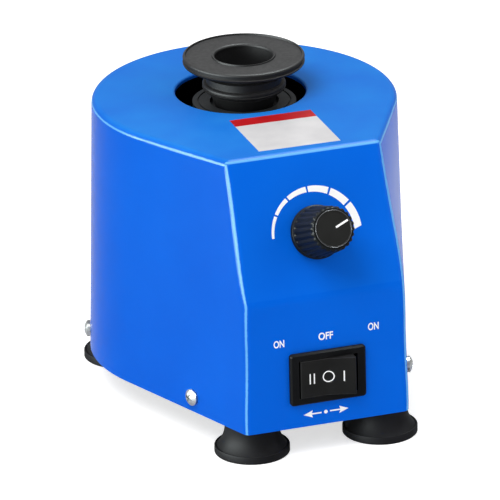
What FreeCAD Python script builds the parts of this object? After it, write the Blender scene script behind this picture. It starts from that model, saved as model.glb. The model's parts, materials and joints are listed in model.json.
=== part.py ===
import FreeCAD
import Part
import math
import os

# Vortex shaker for test tubes, in millimetres. Z is up, the control panel faces -Y.
# The model is laid out about the motor axis, with the floor at z = 0, and is moved along Y at the end
# so that the origin lies under the middle of the whole machine.

V = FreeCAD.Vector
X_AXIS = V(1, 0, 0)
Y_AXIS = V(0, 1, 0)
Z_AXIS = V(0, 0, 1)

# Cover: an open-bottomed casting, round at the back and flaring in to a narrow front.
cover_height = 111.0
cover_wall = 2.5
draft_deg = 1.4
back_radius = 66.2
side_flare_deg = 20.0
top_flare_deg = 29.2
front_reach = 96.2
bend_height = 55.8
top_front_reach = 70.4
bend_round = 9.0
edge_round = 3.0
hole_radius = 27.2
hole_edge_round = 1.0
arc_offset = 4.5

# Base tray and its screws.
tray_thickness = 1.5
tray_flange_height = 10.0
tray_gap = 0.25
screw_height = 6.5
front_screw_reach = 63.7
rear_screw_deg = 20.0
vent_length = 26.0
vent_width = 3.2
vent_pitch = 7.0
vent_count = 5
vent_reach = 52.0

# Feet: rubber bells, screwed up into the tray.
foot_height = 13.3
foot_rim_radius = 15.6
foot_rim_height = 3.0
foot_neck_radius = 9.0
foot_hollow_depth = 2.4
foot_screw_radius = 2.0
foot_head_radius = 3.6
foot_head_height = 2.6
foot_head_level = 6.0
foot_nut_flats = 7.0
foot_nut_height = 3.2
front_foot_setback = 14.3
front_foot_inset = 12.5394
rear_foot_inset = 9.5396
rear_foot_deg = 38.4071

# Pan-head cross-recess screws in the cover's sides.
side_screw_radius = 1.75
side_head_radius = 3.45
side_head_height = 2.5
side_screw_length = 9.0
side_head_seat = 0.1
recess_width = 0.9
recess_span = 3.8
recess_depth = 1.3

# Touch mechanism: a sprung plunger under the motor shaft, and a small switch beside it.
press_travel = 2.5
guide_inner_radius = 7.0
guide_wall = 2.0
guide_height = 7.6
plunger_clearance = 0.07
plunger_skirt = 7.5
plunger_wall = 1.6
flange_radius = 9.0
flange_thickness = 2.0
arm_width = 6.0
arm_reach = 17.0
ball_radius = 2.5
spring_wire = 0.8
spring_radius = 4.3
spring_turns = 4
switch_length = 12.8
switch_width = 5.8
switch_height = 6.5
switch_start = 17.0
switch_plate = 0.7
switch_gap = 0.3
lever_pivot_x = 28.0
lever_tip_x = 13.5
lever_thickness = 0.4
lever_width = 3.6
lever_rest_deg = 12.0
plunger_pin_x = 22.0
plunger_pin_radius = 0.9

# Motor: a shaded-pole motor with its shaft upright, hung on four rubber grommets.
shaft_radius = 4.0
shaft_clearance = 0.05
sleeve_radius = 8.0
sleeve_length = 10.0
boss_wall = 2.5
bracket_plate = 3.0
bracket_width = 84.0
bracket_depth = 50.0
bracket_corner = 6.0
leg_inner = 23.0
leg_outer = 32.0
leg_depth = 20.0
lower_leg_height = 12.0
upper_leg_height = 8.0
stack_height = 23.0
stack_half_width = 32.0
stack_back = 26.0
stack_front = 50.0
stack_corner = 3.0
air_gap = 0.4
rotor_radius = 16.8
end_ring_radius = 15.4
end_ring_inner = 10.0
end_ring_height = 2.5
window_half_width = 20.0
window_back = 22.0
window_front = 35.0
bobbin_wall = 1.2
winding_depth = 8.0
winding_half_length = 17.0
through_bolt_radius = 2.0
through_bolt_x = 27.5
mount_inset = 6.0
post_radius = 4.5
grommet_radius = 6.5
grommet_neck = 4.6
grommet_flange = 3.0
mount_screw_radius = 2.0
mount_head_radius = 3.8
mount_head_height = 2.6
washer_radius = 6.0
washer_thickness = 0.8
fan_radius = 21.5
fan_disc = 1.2
fan_height = 5.5
fan_blades = 8
fan_hub_radius = 7.0

# Rotating drive: hub, eccentric pin and counterweight.
eccentricity = 2.0
pin_angle_deg = -60.0
hub_radius = 9.0
hub_height = 9.0
hub_lift = 4.0
pin_radius = 4.0
pin_shoulder_radius = 5.6
pin_shoulder = 1.5
pin_tail = 1.1
weight_radius = 20.0
weight_height = 7.0
weight_spread_deg = 150.0
set_screw_radius = 2.0
set_screw_length = 4.5

# Head: ball bearing, housing with its grey stepped disc, and the rubber cup.
bearing_outer_radius = 11.0
bearing_width = 7.0
race_wall = 2.0
bearing_ball_radius = 1.8
bearing_balls = 7
ball_play = 0.03
cage_thickness = 1.4
cage_height = 5.0
housing_radius = 14.0
circlip_thickness = 0.9
circlip_depth = 0.7
disc_radius = 21.6
disc_thickness = 3.5
disc_step = 0.5
disc_groove_radius = 19.5
disc_groove_width = 0.7
recess_floor = 2.0
cup_seat_radius = 14.4
stub_radius = 5.0
stub_height = 6.0
cup_height = 21.6
cup_flange_radius = 24.6
cup_flange = 2.3
cup_neck_radius = 15.8
cup_bead_radius = 16.7
cup_bead_level = 9.3
cup_bead_half = 0.9
cup_cone_top = 14.3
cup_cone_bottom = 12.2
cup_bore_radius = 12.65
cup_bore_depth = 10.5
cup_bowl_depth = 3.2

# Speed control on the sloping panel.
knob_distance = 34.0
knob_radius = 11.15
knob_face_radius = 8.5
knob_length = 20.5
knob_gap = 0.8
knob_collar = 2.2
knob_flutes = 22
flute_radius = 0.75
knob_cavity_radius = 7.6
knob_cavity_depth = 4.6
cap_radius = 7.3
cap_thickness = 1.2
cap_lip = 0.4
cap_bevel = 0.25
pointer_deg = 67.0
pot_radius = 8.3
pot_depth = 9.5
pot_bushing_radius = 3.5
pot_bushing_length = 4.6
pot_shaft_radius = 3.0
pot_shaft_length = 15.0
panel_hole_gap = 0.2
pot_washer_radius = 6.0
pot_washer_thickness = 0.6
pot_nut_flats = 10.0
pot_nut_height = 2.2

# Rocker switch on the upright panel.
rocker_level = 21.5
bezel_width = 33.0
bezel_height = 22.4
bezel_thickness = 2.0
bezel_corner = 1.4
window_width = 25.8
window_height = 16.6
rocker_body_width = 27.4
rocker_body_height = 18.6
rocker_body_depth = 19.0
rocker_pin_length = 0.8
rocker_side_gap = 0.35
rocker_end_gap = 1.0
rocker_face_lift = 0.4
rocker_body_corner = 0.6
rocker_tilt_deg = 9.0
rocker_pivot_depth = 0.8
rocker_pin_radius = 1.5
rocker_thickness = 7.0
terminal_width = 6.3
terminal_thickness = 0.8
terminal_length = 8.0
terminal_pitch = 7.0

# Power inlet in the back of the cover.
inlet_level = 30.0
inlet_flange_height = 31.0
inlet_flange_width = 24.0
inlet_flange_thickness = 2.6
inlet_flange_gap = 0.2
inlet_pad_inset = 1.7
inlet_corner = 1.5
inlet_body_height = 27.0
inlet_body_width = 20.0
inlet_body_depth = 18.0
socket_height = 24.2
socket_width = 16.6
socket_depth = 15.5
socket_corner = 4.6
pin_blade_width = 4.0
pin_blade_thickness = 2.0
pin_blade_length = 14.5
pin_blade_tail = 9.0
pin_pitch = 14.0
earth_offset = 4.0
latch_length = 8.0
latch_depth = 0.8

# Speed control board on the tray.
board_length = 46.0
board_width = 24.0
board_thickness = 1.6
board_reach = 60.0
standoff_radius = 3.0
standoff_height = 5.0
board_hole_inset = 3.5
board_screw_radius = 1.4
board_screw_head = 2.6
sink_height = 16.0
sink_length = 18.0
sink_thickness = 1.5

# Levels worked out from the sizes above.
cover_bottom = foot_height
cover_top = cover_bottom + cover_height
tray_floor = cover_bottom + tray_thickness
guide_top = tray_floor + guide_height
switch_bottom = tray_floor + switch_plate
switch_top = switch_bottom + switch_height
lever_bottom = switch_top + switch_gap
lever_slope = math.tan(math.radians(lever_rest_deg))
lever_rise = (lever_pivot_x - lever_tip_x) * lever_slope
arm_bottom = lever_bottom + lever_thickness / math.cos(math.radians(lever_rest_deg)) + lever_rise + switch_gap
arm_top = arm_bottom + flange_thickness
shaft_bottom = arm_top + ball_radius + shaft_clearance
lower_boss_bottom = shaft_bottom + 1.2
lower_plate_top = lower_boss_bottom + sleeve_length
lower_plate_bottom = lower_plate_top - bracket_plate
stack_bottom = lower_plate_top + lower_leg_height
stack_top = stack_bottom + stack_height
upper_plate_bottom = stack_top + upper_leg_height
upper_boss_bottom = upper_plate_bottom - 2.0
upper_boss_top = upper_boss_bottom + sleeve_length
hub_bottom = upper_boss_top + hub_lift
hub_top = hub_bottom + hub_height
housing_bottom = hub_top + 0.5
bearing_bottom = hub_top + pin_shoulder
bearing_top = bearing_bottom + bearing_width
pin_top = bearing_top + pin_tail
disc_top = cover_top - 4.0
disc_bottom = disc_top - disc_thickness
cup_seat = disc_top - recess_floor
cup_top = cup_seat + cup_height
stub_top = cup_seat + stub_height
cup_x = eccentricity * math.cos(math.radians(pin_angle_deg))
cup_y = eccentricity * math.sin(math.radians(pin_angle_deg))

mount_x = bracket_width / 2 - mount_inset
mount_y = bracket_depth / 2 - mount_inset

arc_y = -arc_offset
front_foot_reach = front_reach - front_foot_setback
flank = math.radians(side_flare_deg)
front_foot_x = (back_radius - front_foot_reach * math.sin(flank)) / math.cos(flank) - front_foot_inset
front_foot_y = arc_y - front_foot_reach
rear_foot_x = (back_radius - rear_foot_inset) * math.cos(math.radians(rear_foot_deg))
rear_foot_y = arc_y + (back_radius - rear_foot_inset) * math.sin(math.radians(rear_foot_deg))
foot_places = {
    "front_left": (-front_foot_x, front_foot_y),
    "front_right": (front_foot_x, front_foot_y),
    "rear_left": (-rear_foot_x, rear_foot_y),
    "rear_right": (rear_foot_x, rear_foot_y),
}

slope = math.atan2(
    front_reach - bend_height * math.tan(math.radians(draft_deg)) - top_front_reach,
    cover_height - bend_height,
)
slope_deg = math.degrees(slope)
slope_panel_y = arc_y - top_front_reach - knob_distance * math.sin(slope)
slope_panel_z = cover_top - knob_distance * math.cos(slope)
inlet_radius = back_radius - inlet_level * math.tan(math.radians(draft_deg))
inlet_face_y = arc_y + inlet_radius - inlet_pad_inset

# The machine reaches from the tip of the knob to the inlet's flange, and the origin is midway.
knob_tip = knob_gap + knob_length + cap_lip
row_front = slope_panel_y - knob_tip * math.cos(slope) - (cap_radius - cap_bevel) * math.sin(slope)
row_back = max(arc_y + back_radius, inlet_face_y + inlet_flange_thickness)
row_shift_y = -(row_front + row_back) / 2.0


# Common shapes.
def cylinder(radius, bottom, top, x=0.0, y=0.0):
    return Part.makeCylinder(radius, top - bottom, V(x, y, bottom))


def ring(outer, inner, bottom, top, x=0.0, y=0.0):
    return cylinder(outer, bottom, top, x, y).cut(cylinder(inner, bottom, top, x, y))


def box(x0, x1, y0, y1, z0, z1):
    return Part.makeBox(x1 - x0, y1 - y0, z1 - z0, V(x0, y0, z0))


def rounded_wire(points, radii):
    """Closed wire through the points, each corner rounded by its own radius."""
    edges = []
    starts = []
    ends = []
    count = len(points)
    for i in range(count):
        here = points[i]
        before = (points[i - 1] - here).normalize()
        after = (points[(i + 1) % count] - here).normalize()
        half_turn = (math.pi - before.getAngle(after)) / 2.0
        reach = radii[i] * math.tan(half_turn)
        start = here + before * reach
        end = here + after * reach
        if radii[i] > 0:
            middle_way = (before + after).normalize()
            sink = radii[i] / math.cos(half_turn) - radii[i]
            edges.append(Part.Arc(start, here + middle_way * sink, end).toShape())
        starts.append(start)
        ends.append(end)
    for i in range(count):
        edges.append(Part.makeLine(ends[i], starts[(i + 1) % count]))
    return Part.Wire(Part.__sortEdges__(edges))


def rounded_plate(width, depth, corner, bottom, top, x=0.0, y=0.0):
    """Flat plate with rounded corners, centred on x, y."""
    w = width / 2.0
    d = depth / 2.0
    points = [V(x - w, y - d, bottom), V(x + w, y - d, bottom), V(x + w, y + d, bottom), V(x - w, y + d, bottom)]
    return Part.Face(rounded_wire(points, [corner] * 4)).extrude(V(0, 0, top - bottom))


def turned(points):
    """Solid of revolution about Z from a closed outline of (radius, height) pairs."""
    outline = [V(r, 0, z) for r, z in points]
    return Part.Face(Part.makePolygon(outline + [outline[0]])).revolve(V(0, 0, 0), Z_AXIS, 360)


def hexagon(flats, bottom, top, x=0.0, y=0.0):
    corner = flats / math.sqrt(3.0)
    points = [V(x + corner * math.cos(a), y + corner * math.sin(a), bottom) for a in
              [math.radians(60 * i) for i in range(6)]]
    return Part.Face(Part.makePolygon(points + [points[0]])).extrude(V(0, 0, top - bottom))


def fuse_all(shapes):
    whole = shapes[0]
    for shape in shapes[1:]:
        whole = whole.fuse(shape)
    return whole.removeSplitter()


def placed(shape, placement):
    moved = shape.copy()
    moved.Placement = placement.multiply(moved.Placement)
    return moved


def edges_where(shape, test):
    return [e for e in shape.Edges if test(e)]


def save(name, shapes):
    """Write one node, moved from the motor axis to the middle of the machine."""
    solids = []
    for shape in shapes:
        solids.extend(shape.Solids)
    moved = [s.translated(V(0, row_shift_y, 0)) for s in solids]
    whole = moved[0] if len(moved) == 1 else Part.makeCompound(moved)
    whole.exportStep("parts/" + name + ".step")


# Cover form.
def flare_at(height):
    """Angle of the side walls to the Y axis, growing smoothly above the bend."""
    share = max(0.0, (height - bend_height) / (cover_height - bend_height))
    return math.radians(side_flare_deg + (top_flare_deg - side_flare_deg) * share ** 1.4)


def radius_at(height):
    return back_radius - height * math.tan(math.radians(draft_deg))


def side_outline(height, inset, cut_y):
    """Outline at one height: a back arc, and two walls tangent to it that run on past the front."""
    radius = radius_at(height) - inset
    flare = flare_at(height)
    tangent = V(radius * math.cos(flare), arc_y - radius * math.sin(flare), cover_bottom + height)
    along = (cut_y - tangent.y) / -math.cos(flare)
    corner = V(tangent.x - along * math.sin(flare), cut_y, tangent.z)
    mirror_tangent = V(-tangent.x, tangent.y, tangent.z)
    mirror_corner = V(-corner.x, corner.y, corner.z)
    rear = V(0, arc_y + radius, tangent.z)
    return Part.Wire([
        Part.makeLine(mirror_corner, corner),
        Part.makeLine(corner, tangent),
        Part.Arc(tangent, rear, mirror_tangent).toShape(),
        Part.makeLine(mirror_tangent, mirror_corner),
    ])


def front_profile(inset, low, high):
    """Side view of the front: upright panel, bend and slope, closed well behind the back."""
    draft = math.radians(draft_deg)
    foot = V(0, arc_y - front_reach, cover_bottom)
    crown = V(0, arc_y - top_front_reach, cover_top)

    def on_upright(z):
        return V(0, foot.y + (z - foot.z) * math.tan(draft) + inset / math.cos(draft), z)

    def on_slope(z):
        return V(0, crown.y + (z - crown.z) * math.tan(slope) + inset / math.cos(slope), z)

    span = math.tan(slope) - math.tan(draft)
    rise = (foot.y - crown.y + inset / math.cos(draft) - inset / math.cos(slope)
            - foot.z * math.tan(draft) + crown.z * math.tan(slope)) / span
    bend = on_upright(rise)
    points = [on_upright(low), bend, on_slope(high), V(0, arc_y + 90, high), V(0, arc_y + 90, low)]
    wire = rounded_wire(points, [0, bend_round - inset, 0, 0, 0])
    return Part.Face(wire)


def body_form(inset, low, high):
    """The cover's form between two heights, drawn in by an inset."""
    cut_y = arc_y - front_reach - 6.0
    steps = 6
    heights = [low + (high - low) * i / steps for i in range(steps + 1)]
    if high <= bend_height:
        heights = [low, high]
    sides = Part.makeLoft([side_outline(h, inset, cut_y) for h in heights], True, high <= bend_height)
    profile = front_profile(inset, cover_bottom + low - 1, cover_bottom + high + 1)
    profile.translate(V(-90, 0, 0))
    return sides.common(profile.extrude(V(180, 0, 0)))


def panel_frame(y, z, lean_deg):
    """Frame on a front panel: X to the right, Y up the panel, Z straight out of it."""
    return FreeCAD.Placement(V(0, y, z), FreeCAD.Rotation(X_AXIS, 90 - lean_deg))


slope_panel = panel_frame(slope_panel_y, slope_panel_z, slope_deg)
upright_panel = panel_frame(
    arc_y - front_reach + rocker_level * math.tan(math.radians(draft_deg)),
    cover_bottom + rocker_level,
    draft_deg,
)
inlet_frame = FreeCAD.Placement(
    V(0, inlet_face_y, cover_bottom + inlet_level),
    FreeCAD.Rotation(Z_AXIS, X_AXIS, Y_AXIS, "ZXY"),
)


def wall_frame(place, out_x, out_y):
    """Frame on a drafted wall, Z straight out of it."""
    return FreeCAD.Placement(place, FreeCAD.Rotation(Z_AXIS, V(out_x, out_y, math.tan(math.radians(draft_deg)))))


def side_screw_frames():
    """Frames on the cover's sides, Z straight out of the wall, for the four screws."""
    radius = radius_at(screw_height)
    flare = math.radians(side_flare_deg)
    back = math.radians(rear_screw_deg)
    frames = []
    for side in (-1, 1):
        x = (radius - front_screw_reach * math.sin(flare)) / math.cos(flare)
        place = V(side * x, arc_y - front_screw_reach, cover_bottom + screw_height)
        frames.append(wall_frame(place, side * math.cos(flare), -math.sin(flare)))
        place = V(side * radius * math.cos(back), arc_y + radius * math.sin(back), cover_bottom + screw_height)
        frames.append(wall_frame(place, side * math.cos(back), math.sin(back)))
    return frames


def make_cover():
    outer = body_form(0.0, 0.0, cover_height)
    behind_front = arc_y - top_front_reach - 6

    def outside_edge(e):
        reach = e.BoundBox
        on_top = reach.ZMin > cover_top - 0.01
        at_front = reach.ZLength > 5 and reach.XLength < 12 and e.CenterOfMass.y < behind_front
        return on_top or at_front

    outer = outer.makeFillet(edge_round, edges_where(outer, outside_edge))
    inner = body_form(cover_wall, -1.0, cover_height - cover_wall)
    cover = outer.cut(inner)
    cover = cover.cut(cylinder(hole_radius, cover_top - 2 * cover_wall, cover_top + 1))

    def hole_edge(e):
        reach = e.BoundBox
        return reach.ZMin > cover_top - 0.01 and abs(reach.XLength - 2 * hole_radius) < 0.01

    cover = cover.makeFillet(hole_edge_round, edges_where(cover, hole_edge))
    pot_hole = cylinder(pot_bushing_radius + panel_hole_gap, -2 * cover_wall, cover_wall)
    cover = cover.cut(placed(pot_hole, slope_panel))
    window = rounded_plate(rocker_body_width + 2 * panel_hole_gap, rocker_body_height + 2 * panel_hole_gap,
                           rocker_body_corner, -2 * cover_wall, cover_wall)
    cover = cover.cut(placed(window, upright_panel))
    for frame in side_screw_frames():
        hole = cylinder(side_screw_radius + panel_hole_gap, -2 * cover_wall, cover_wall)
        cover = cover.cut(placed(hole, frame))
    pad = rounded_plate(inlet_flange_height + 2 * inlet_flange_gap, inlet_flange_width + 2 * inlet_flange_gap,
                        inlet_corner, 0, 3 * cover_wall)
    cutout = rounded_plate(inlet_body_height + 2 * panel_hole_gap, inlet_body_width + 2 * panel_hole_gap,
                           inlet_corner, -4 * cover_wall, cover_wall)
    return cover.cut(placed(pad, inlet_frame)).cut(placed(cutout, inlet_frame))


def make_tray():
    """Sheet-metal tray that closes the cover's underside, with an upturned edge all round."""
    inset = cover_wall + tray_gap
    outer = body_form(inset, 0.0, tray_flange_height)
    inner = body_form(inset + tray_thickness, -1.0, tray_flange_height + 1.0)
    tray = outer.cut(inner.common(box(-90, 90, -150, 90, tray_floor, cover_top)))
    for frame in side_screw_frames():
        hole = cylinder(side_screw_radius, -cover_wall - 3 * tray_thickness, 0)
        tray = tray.cut(placed(hole, frame))
    for x, y in foot_places.values():
        tray = tray.cut(cylinder(foot_screw_radius, cover_bottom - 1, tray_floor + 1, x, y))
    for i in range(vent_count):
        y = arc_y - vent_reach + i * vent_pitch
        slot = rounded_plate(vent_length, vent_width, vent_width / 2 - 0.01, cover_bottom - 1, tray_floor + 1, 0, y)
        tray = tray.cut(slot)
    return tray


def make_foot(x, y):
    """Rubber bell foot: upright rim, flared shoulder, round neck, hollow underneath."""
    rim = foot_rim_radius
    top = foot_height
    flare = Part.BSplineCurve()
    flare.interpolate([
        V(rim - 0.5, 0, foot_rim_height + 0.2),
        V(rim - 1.4, 0, 0.40 * top),
        V(rim - 3.1, 0, 0.56 * top),
        V(rim - 5.2, 0, 0.72 * top),
        V(foot_neck_radius, 0, top),
    ])
    start = flare.StartPoint
    hollow = Part.Arc(
        V(foot_head_radius + 0.4, 0, foot_hollow_depth),
        V(0.6 * rim, 0, 0.85 * foot_hollow_depth),
        V(rim - 1.2, 0, 0),
    )
    outline = Part.Wire([
        Part.makeLine(V(rim - 1.2, 0, 0), V(rim - 0.4, 0, 0)),
        Part.makeLine(V(rim - 0.4, 0, 0), V(rim, 0, 0.4)),
        Part.makeLine(V(rim, 0, 0.4), V(rim, 0, foot_rim_height - 0.3)),
        Part.makeLine(V(rim, 0, foot_rim_height - 0.3), start),
        flare.toShape(),
        Part.makeLine(V(foot_neck_radius, 0, top), V(foot_screw_radius, 0, top)),
        Part.makeLine(V(foot_screw_radius, 0, top), V(foot_screw_radius, 0, foot_head_level)),
        Part.makeLine(V(foot_screw_radius, 0, foot_head_level), V(foot_head_radius + 0.4, 0, foot_head_level)),
        Part.makeLine(V(foot_head_radius + 0.4, 0, foot_head_level), V(foot_head_radius + 0.4, 0, foot_hollow_depth)),
        hollow.toShape(),
    ])
    return Part.Face(outline).revolve(V(0, 0, 0), Z_AXIS, 360).translated(V(x, y, 0))


def dome(radius, low, high):
    """Spherical arc in the XZ plane from the rim at height low to the axis at height high."""
    sag = high - low
    ball = (radius * radius + sag * sag) / (2 * sag)
    half = math.asin(min(1.0, radius / abs(ball))) / 2
    middle = V(abs(ball) * math.sin(half), 0, high - ball + ball * math.cos(half))
    return Part.Arc(V(radius, 0, low), middle, V(0, 0, high)).toShape()


def cross_recess(top):
    """Cross-shaped driver slot, cut down from the top of a screw head."""
    w = recess_width / 2
    s = recess_span / 2
    bottom = top - recess_depth
    return box(-s, s, -w, w, bottom, top + 1).fuse(box(-w, w, -s, s, bottom, top + 1))


def pan_screw(shank_radius, head_radius, head_height, length):
    """Pan-head screw along Z, its head sitting on z = 0."""
    crown = head_height * 0.45
    outline = Part.Wire([
        Part.makeLine(V(0, 0, -length), V(shank_radius, 0, -length)),
        Part.makeLine(V(shank_radius, 0, -length), V(shank_radius, 0, 0)),
        Part.makeLine(V(shank_radius, 0, 0), V(head_radius, 0, 0)),
        Part.makeLine(V(head_radius, 0, 0), V(head_radius, 0, crown)),
        dome(head_radius, crown, head_height),
        Part.makeLine(V(0, 0, head_height), V(0, 0, -length)),
    ])
    return Part.Face(outline).revolve(V(0, 0, 0), Z_AXIS, 360)


def make_side_screws():
    screw = pan_screw(side_screw_radius, side_head_radius, side_head_height, side_screw_length)
    screw = screw.cut(cross_recess(side_head_height)).translated(V(0, 0, side_head_seat))
    return [placed(screw, frame) for frame in side_screw_frames()]


def make_foot_screws():
    length = tray_floor + foot_nut_height + 1.0 - foot_head_level
    screws = []
    for x, y in foot_places.values():
        shank = cylinder(foot_screw_radius, foot_head_level, foot_head_level + length, x, y)
        head = cylinder(foot_head_radius, foot_head_level - foot_head_height, foot_head_level, x, y)
        screws.append(shank.fuse(head))
    return screws


def make_foot_nuts():
    nuts = []
    for x, y in foot_places.values():
        nut = hexagon(foot_nut_flats, tray_floor, tray_floor + foot_nut_height, x, y)
        nuts.append(nut.cut(cylinder(foot_screw_radius, tray_floor, cover_top, x, y)))
    return nuts


def make_spring_guide():
    outer = guide_inner_radius + guide_wall
    wall = ring(outer, guide_inner_radius, tray_floor, guide_top)
    base = ring(outer + 3.0, guide_inner_radius, tray_floor, tray_floor + 1.6)
    return wall.fuse(base).removeSplitter()


def make_plunger():
    """Sprung cup that carries the ball under the shaft, with an arm that works the touch switch."""
    skirt = guide_inner_radius - plunger_clearance
    body = cylinder(skirt, arm_bottom - plunger_skirt, arm_bottom)
    body = body.cut(cylinder(skirt - plunger_wall, arm_bottom - plunger_skirt, arm_bottom - plunger_wall))
    flange = cylinder(flange_radius, arm_bottom, arm_top)
    arm = box(0, arm_reach, -arm_width / 2, arm_width / 2, arm_bottom, arm_top)
    whole = fuse_all([body, flange, arm])
    return whole.cut(Part.makeSphere(ball_radius, V(0, 0, arm_top)))


def make_return_spring():
    """Round-wire coil spring between the tray and the plunger."""
    bottom = tray_floor + spring_wire / 2
    top = arm_bottom - plunger_wall - spring_wire / 2
    helix = Part.makeHelix((top - bottom) / spring_turns, top - bottom, spring_radius)
    section = Part.Wire(Part.makeCircle(spring_wire / 2, V(spring_radius, 0, 0), Y_AXIS))
    coil = Part.Wire(helix.Edges).makePipeShell([section], True, True)
    return coil.translated(V(0, 0, bottom))


def make_touch_switch():
    body = box(switch_start, switch_start + switch_length, -switch_width / 2, switch_width / 2,
               switch_bottom, switch_top)
    pin_hole = cylinder(plunger_pin_radius + shaft_clearance, switch_top - 3.0, switch_top, plunger_pin_x)
    body = body.cut(pin_hole)
    for x in (switch_start + 3.2, switch_start + 9.6):
        hole = Part.makeCylinder(1.0, switch_width, V(x, -switch_width / 2, switch_bottom + 1.8), Y_AXIS)
        body = body.cut(hole)
    return body


def make_switch_bracket():
    return rounded_plate(switch_length + 4, switch_width + 8, 1.5, tray_floor, switch_bottom,
                         switch_start + switch_length / 2)


def make_switch_lever():
    """Spring-steel lever that slopes up from its pivot to the plunger's arm."""
    length = (lever_pivot_x - lever_tip_x) / math.cos(math.radians(lever_rest_deg))
    blade = box(-length, 0, -lever_width / 2, lever_width / 2, 0, lever_thickness)
    turn = FreeCAD.Rotation(Y_AXIS, lever_rest_deg)
    return placed(blade, FreeCAD.Placement(V(lever_pivot_x, 0, lever_bottom), turn))


def make_switch_pin():
    top = lever_bottom + (lever_pivot_x - plunger_pin_x - plunger_pin_radius) * lever_slope - switch_gap
    return cylinder(plunger_pin_radius, switch_top - 2.0, top, plunger_pin_x)


def make_lower_bracket():
    """Cast bracket under the motor: bearing boss, mounting plate and two legs up to the stack."""
    plate = rounded_plate(bracket_width, bracket_depth, bracket_corner, lower_plate_bottom, lower_plate_top)
    boss = cylinder(sleeve_radius + boss_wall, lower_boss_bottom, lower_plate_top)
    legs = bracket_legs(lower_plate_top, stack_bottom)
    bracket = fuse_all([plate, boss] + legs)
    bracket = bracket.cut(cylinder(sleeve_radius, lower_boss_bottom - 1, lower_plate_top + 1))
    for x, y in mount_places():
        bracket = bracket.cut(cylinder(grommet_neck, lower_plate_bottom - 1, lower_plate_top + 1, x, y))
    for y in (-15.0, 15.0):
        slot = rounded_plate(30.0, 7.0, 3.4, lower_plate_bottom - 1, lower_plate_top + 1, 0, y)
        bracket = bracket.cut(slot)
    return drill_through_bolts(bracket)


def bracket_legs(bottom, top):
    legs = []
    for side in (-1, 1):
        x = side * (leg_inner + leg_outer) / 2
        legs.append(rounded_plate(leg_outer - leg_inner, leg_depth, 2.0, bottom, top, x))
    return legs


def mount_places():
    return [(x, y) for x in (-mount_x, mount_x) for y in (-mount_y, mount_y)]


def drill_through_bolts(shape):
    for x in (-through_bolt_x, through_bolt_x):
        shape = shape.cut(cylinder(through_bolt_radius, 0, cover_top, x))
    return shape


def make_upper_bracket():
    """Cast bridge over the motor with the upper bearing boss."""
    top = upper_plate_bottom + bracket_plate
    plate = rounded_plate(2 * leg_outer, leg_depth, 2.0, upper_plate_bottom, top)
    round_middle = cylinder(sleeve_radius + 2 * boss_wall, upper_plate_bottom, top)
    boss = cylinder(sleeve_radius + boss_wall, upper_boss_bottom, upper_boss_top)
    bracket = fuse_all([plate, round_middle, boss] + bracket_legs(stack_top, upper_plate_bottom))
    bracket = bracket.cut(cylinder(sleeve_radius, upper_boss_bottom - 1, upper_boss_top + 1))
    return drill_through_bolts(bracket)


def make_sleeve(bottom):
    return ring(sleeve_radius, shaft_radius + shaft_clearance, bottom, bottom + sleeve_length)


def make_stator():
    """Laminated stack with the rotor bore at the back and the coil's leg at the front."""
    middle_y = (stack_back - stack_front) / 2
    stack = rounded_plate(2 * stack_half_width, stack_back + stack_front, stack_corner,
                          stack_bottom, stack_top, 0, middle_y)
    stack = stack.cut(cylinder(rotor_radius + air_gap, stack_bottom - 1, stack_top + 1))
    window = box(-window_half_width, window_half_width, -window_front, -window_back, stack_bottom - 1, stack_top + 1)
    neck = box(-window_half_width / 3, window_half_width / 3, -window_back - 1, 0, stack_bottom - 1, stack_top + 1)
    stack = stack.cut(window).cut(neck.common(cylinder(rotor_radius, 0, cover_top)))
    return drill_through_bolts(stack)


def coil_layers(grow):
    """Rectangular ring round the coil's leg, grown outwards by a thickness."""
    half = winding_half_length
    return (-half, half, -stack_front - grow, -window_front + grow, stack_bottom - grow, stack_top + grow)


def make_bobbin():
    """Nylon bobbin: a tube over the leg with a flange at each end."""
    x0, x1, y0, y1, z0, z1 = coil_layers(bobbin_wall)
    tube = box(x0, x1, y0, y1, z0, z1)
    f0, f1, g0, g1, h0, h1 = coil_layers(winding_depth)
    flanges = [box(f0 - bobbin_wall, f0, g0, g1, h0, h1), box(f1, f1 + bobbin_wall, g0, g1, h0, h1)]
    leg = coil_layers(0.0)
    hole = box(leg[0] - 5, leg[1] + 5, leg[2], leg[3], leg[4], leg[5])
    return fuse_all([tube] + flanges).cut(hole)


def make_winding():
    """Taped copper coil, slightly crowned, wound on the bobbin."""
    inner = coil_layers(bobbin_wall)
    outer = coil_layers(winding_depth - 0.8)
    coil = box(*outer)
    coil = coil.makeFillet(2.4, [e for e in coil.Edges if e.BoundBox.XLength > 1])
    return coil.cut(box(inner[0] - 1, inner[1] + 1, inner[2], inner[3], inner[4], inner[5]))


def make_through_bolts():
    bottom = lower_plate_bottom - foot_nut_height
    top = upper_plate_bottom + bracket_plate
    bolts = []
    for x in (-through_bolt_x, through_bolt_x):
        shank = cylinder(through_bolt_radius, bottom, top, x)
        head = hexagon(foot_nut_flats, top, top + mount_head_height, x)
        nut = hexagon(foot_nut_flats, bottom, lower_plate_bottom, x)
        bolts.append(shank.fuse(head).fuse(nut).removeSplitter())
    return bolts


def make_posts():
    """Threaded pillars that stand on the tray and carry the motor's grommets."""
    top = lower_plate_bottom - grommet_flange
    posts = []
    for x, y in mount_places():
        post = cylinder(post_radius, tray_floor, top, x, y)
        posts.append(post.cut(cylinder(mount_screw_radius, top - 8, top + 1, x, y)))
    return posts


def make_grommets():
    bottom = lower_plate_bottom - grommet_flange
    top = lower_plate_top + grommet_flange
    grommets = []
    for x, y in mount_places():
        lower = cylinder(grommet_radius, bottom, lower_plate_bottom, x, y)
        neck = cylinder(grommet_neck, lower_plate_bottom, lower_plate_top, x, y)
        upper = cylinder(grommet_radius, lower_plate_top, top, x, y)
        whole = fuse_all([lower, neck, upper])
        grommets.append(whole.cut(cylinder(mount_screw_radius, bottom - 1, top + 1, x, y)))
    return grommets


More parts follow.
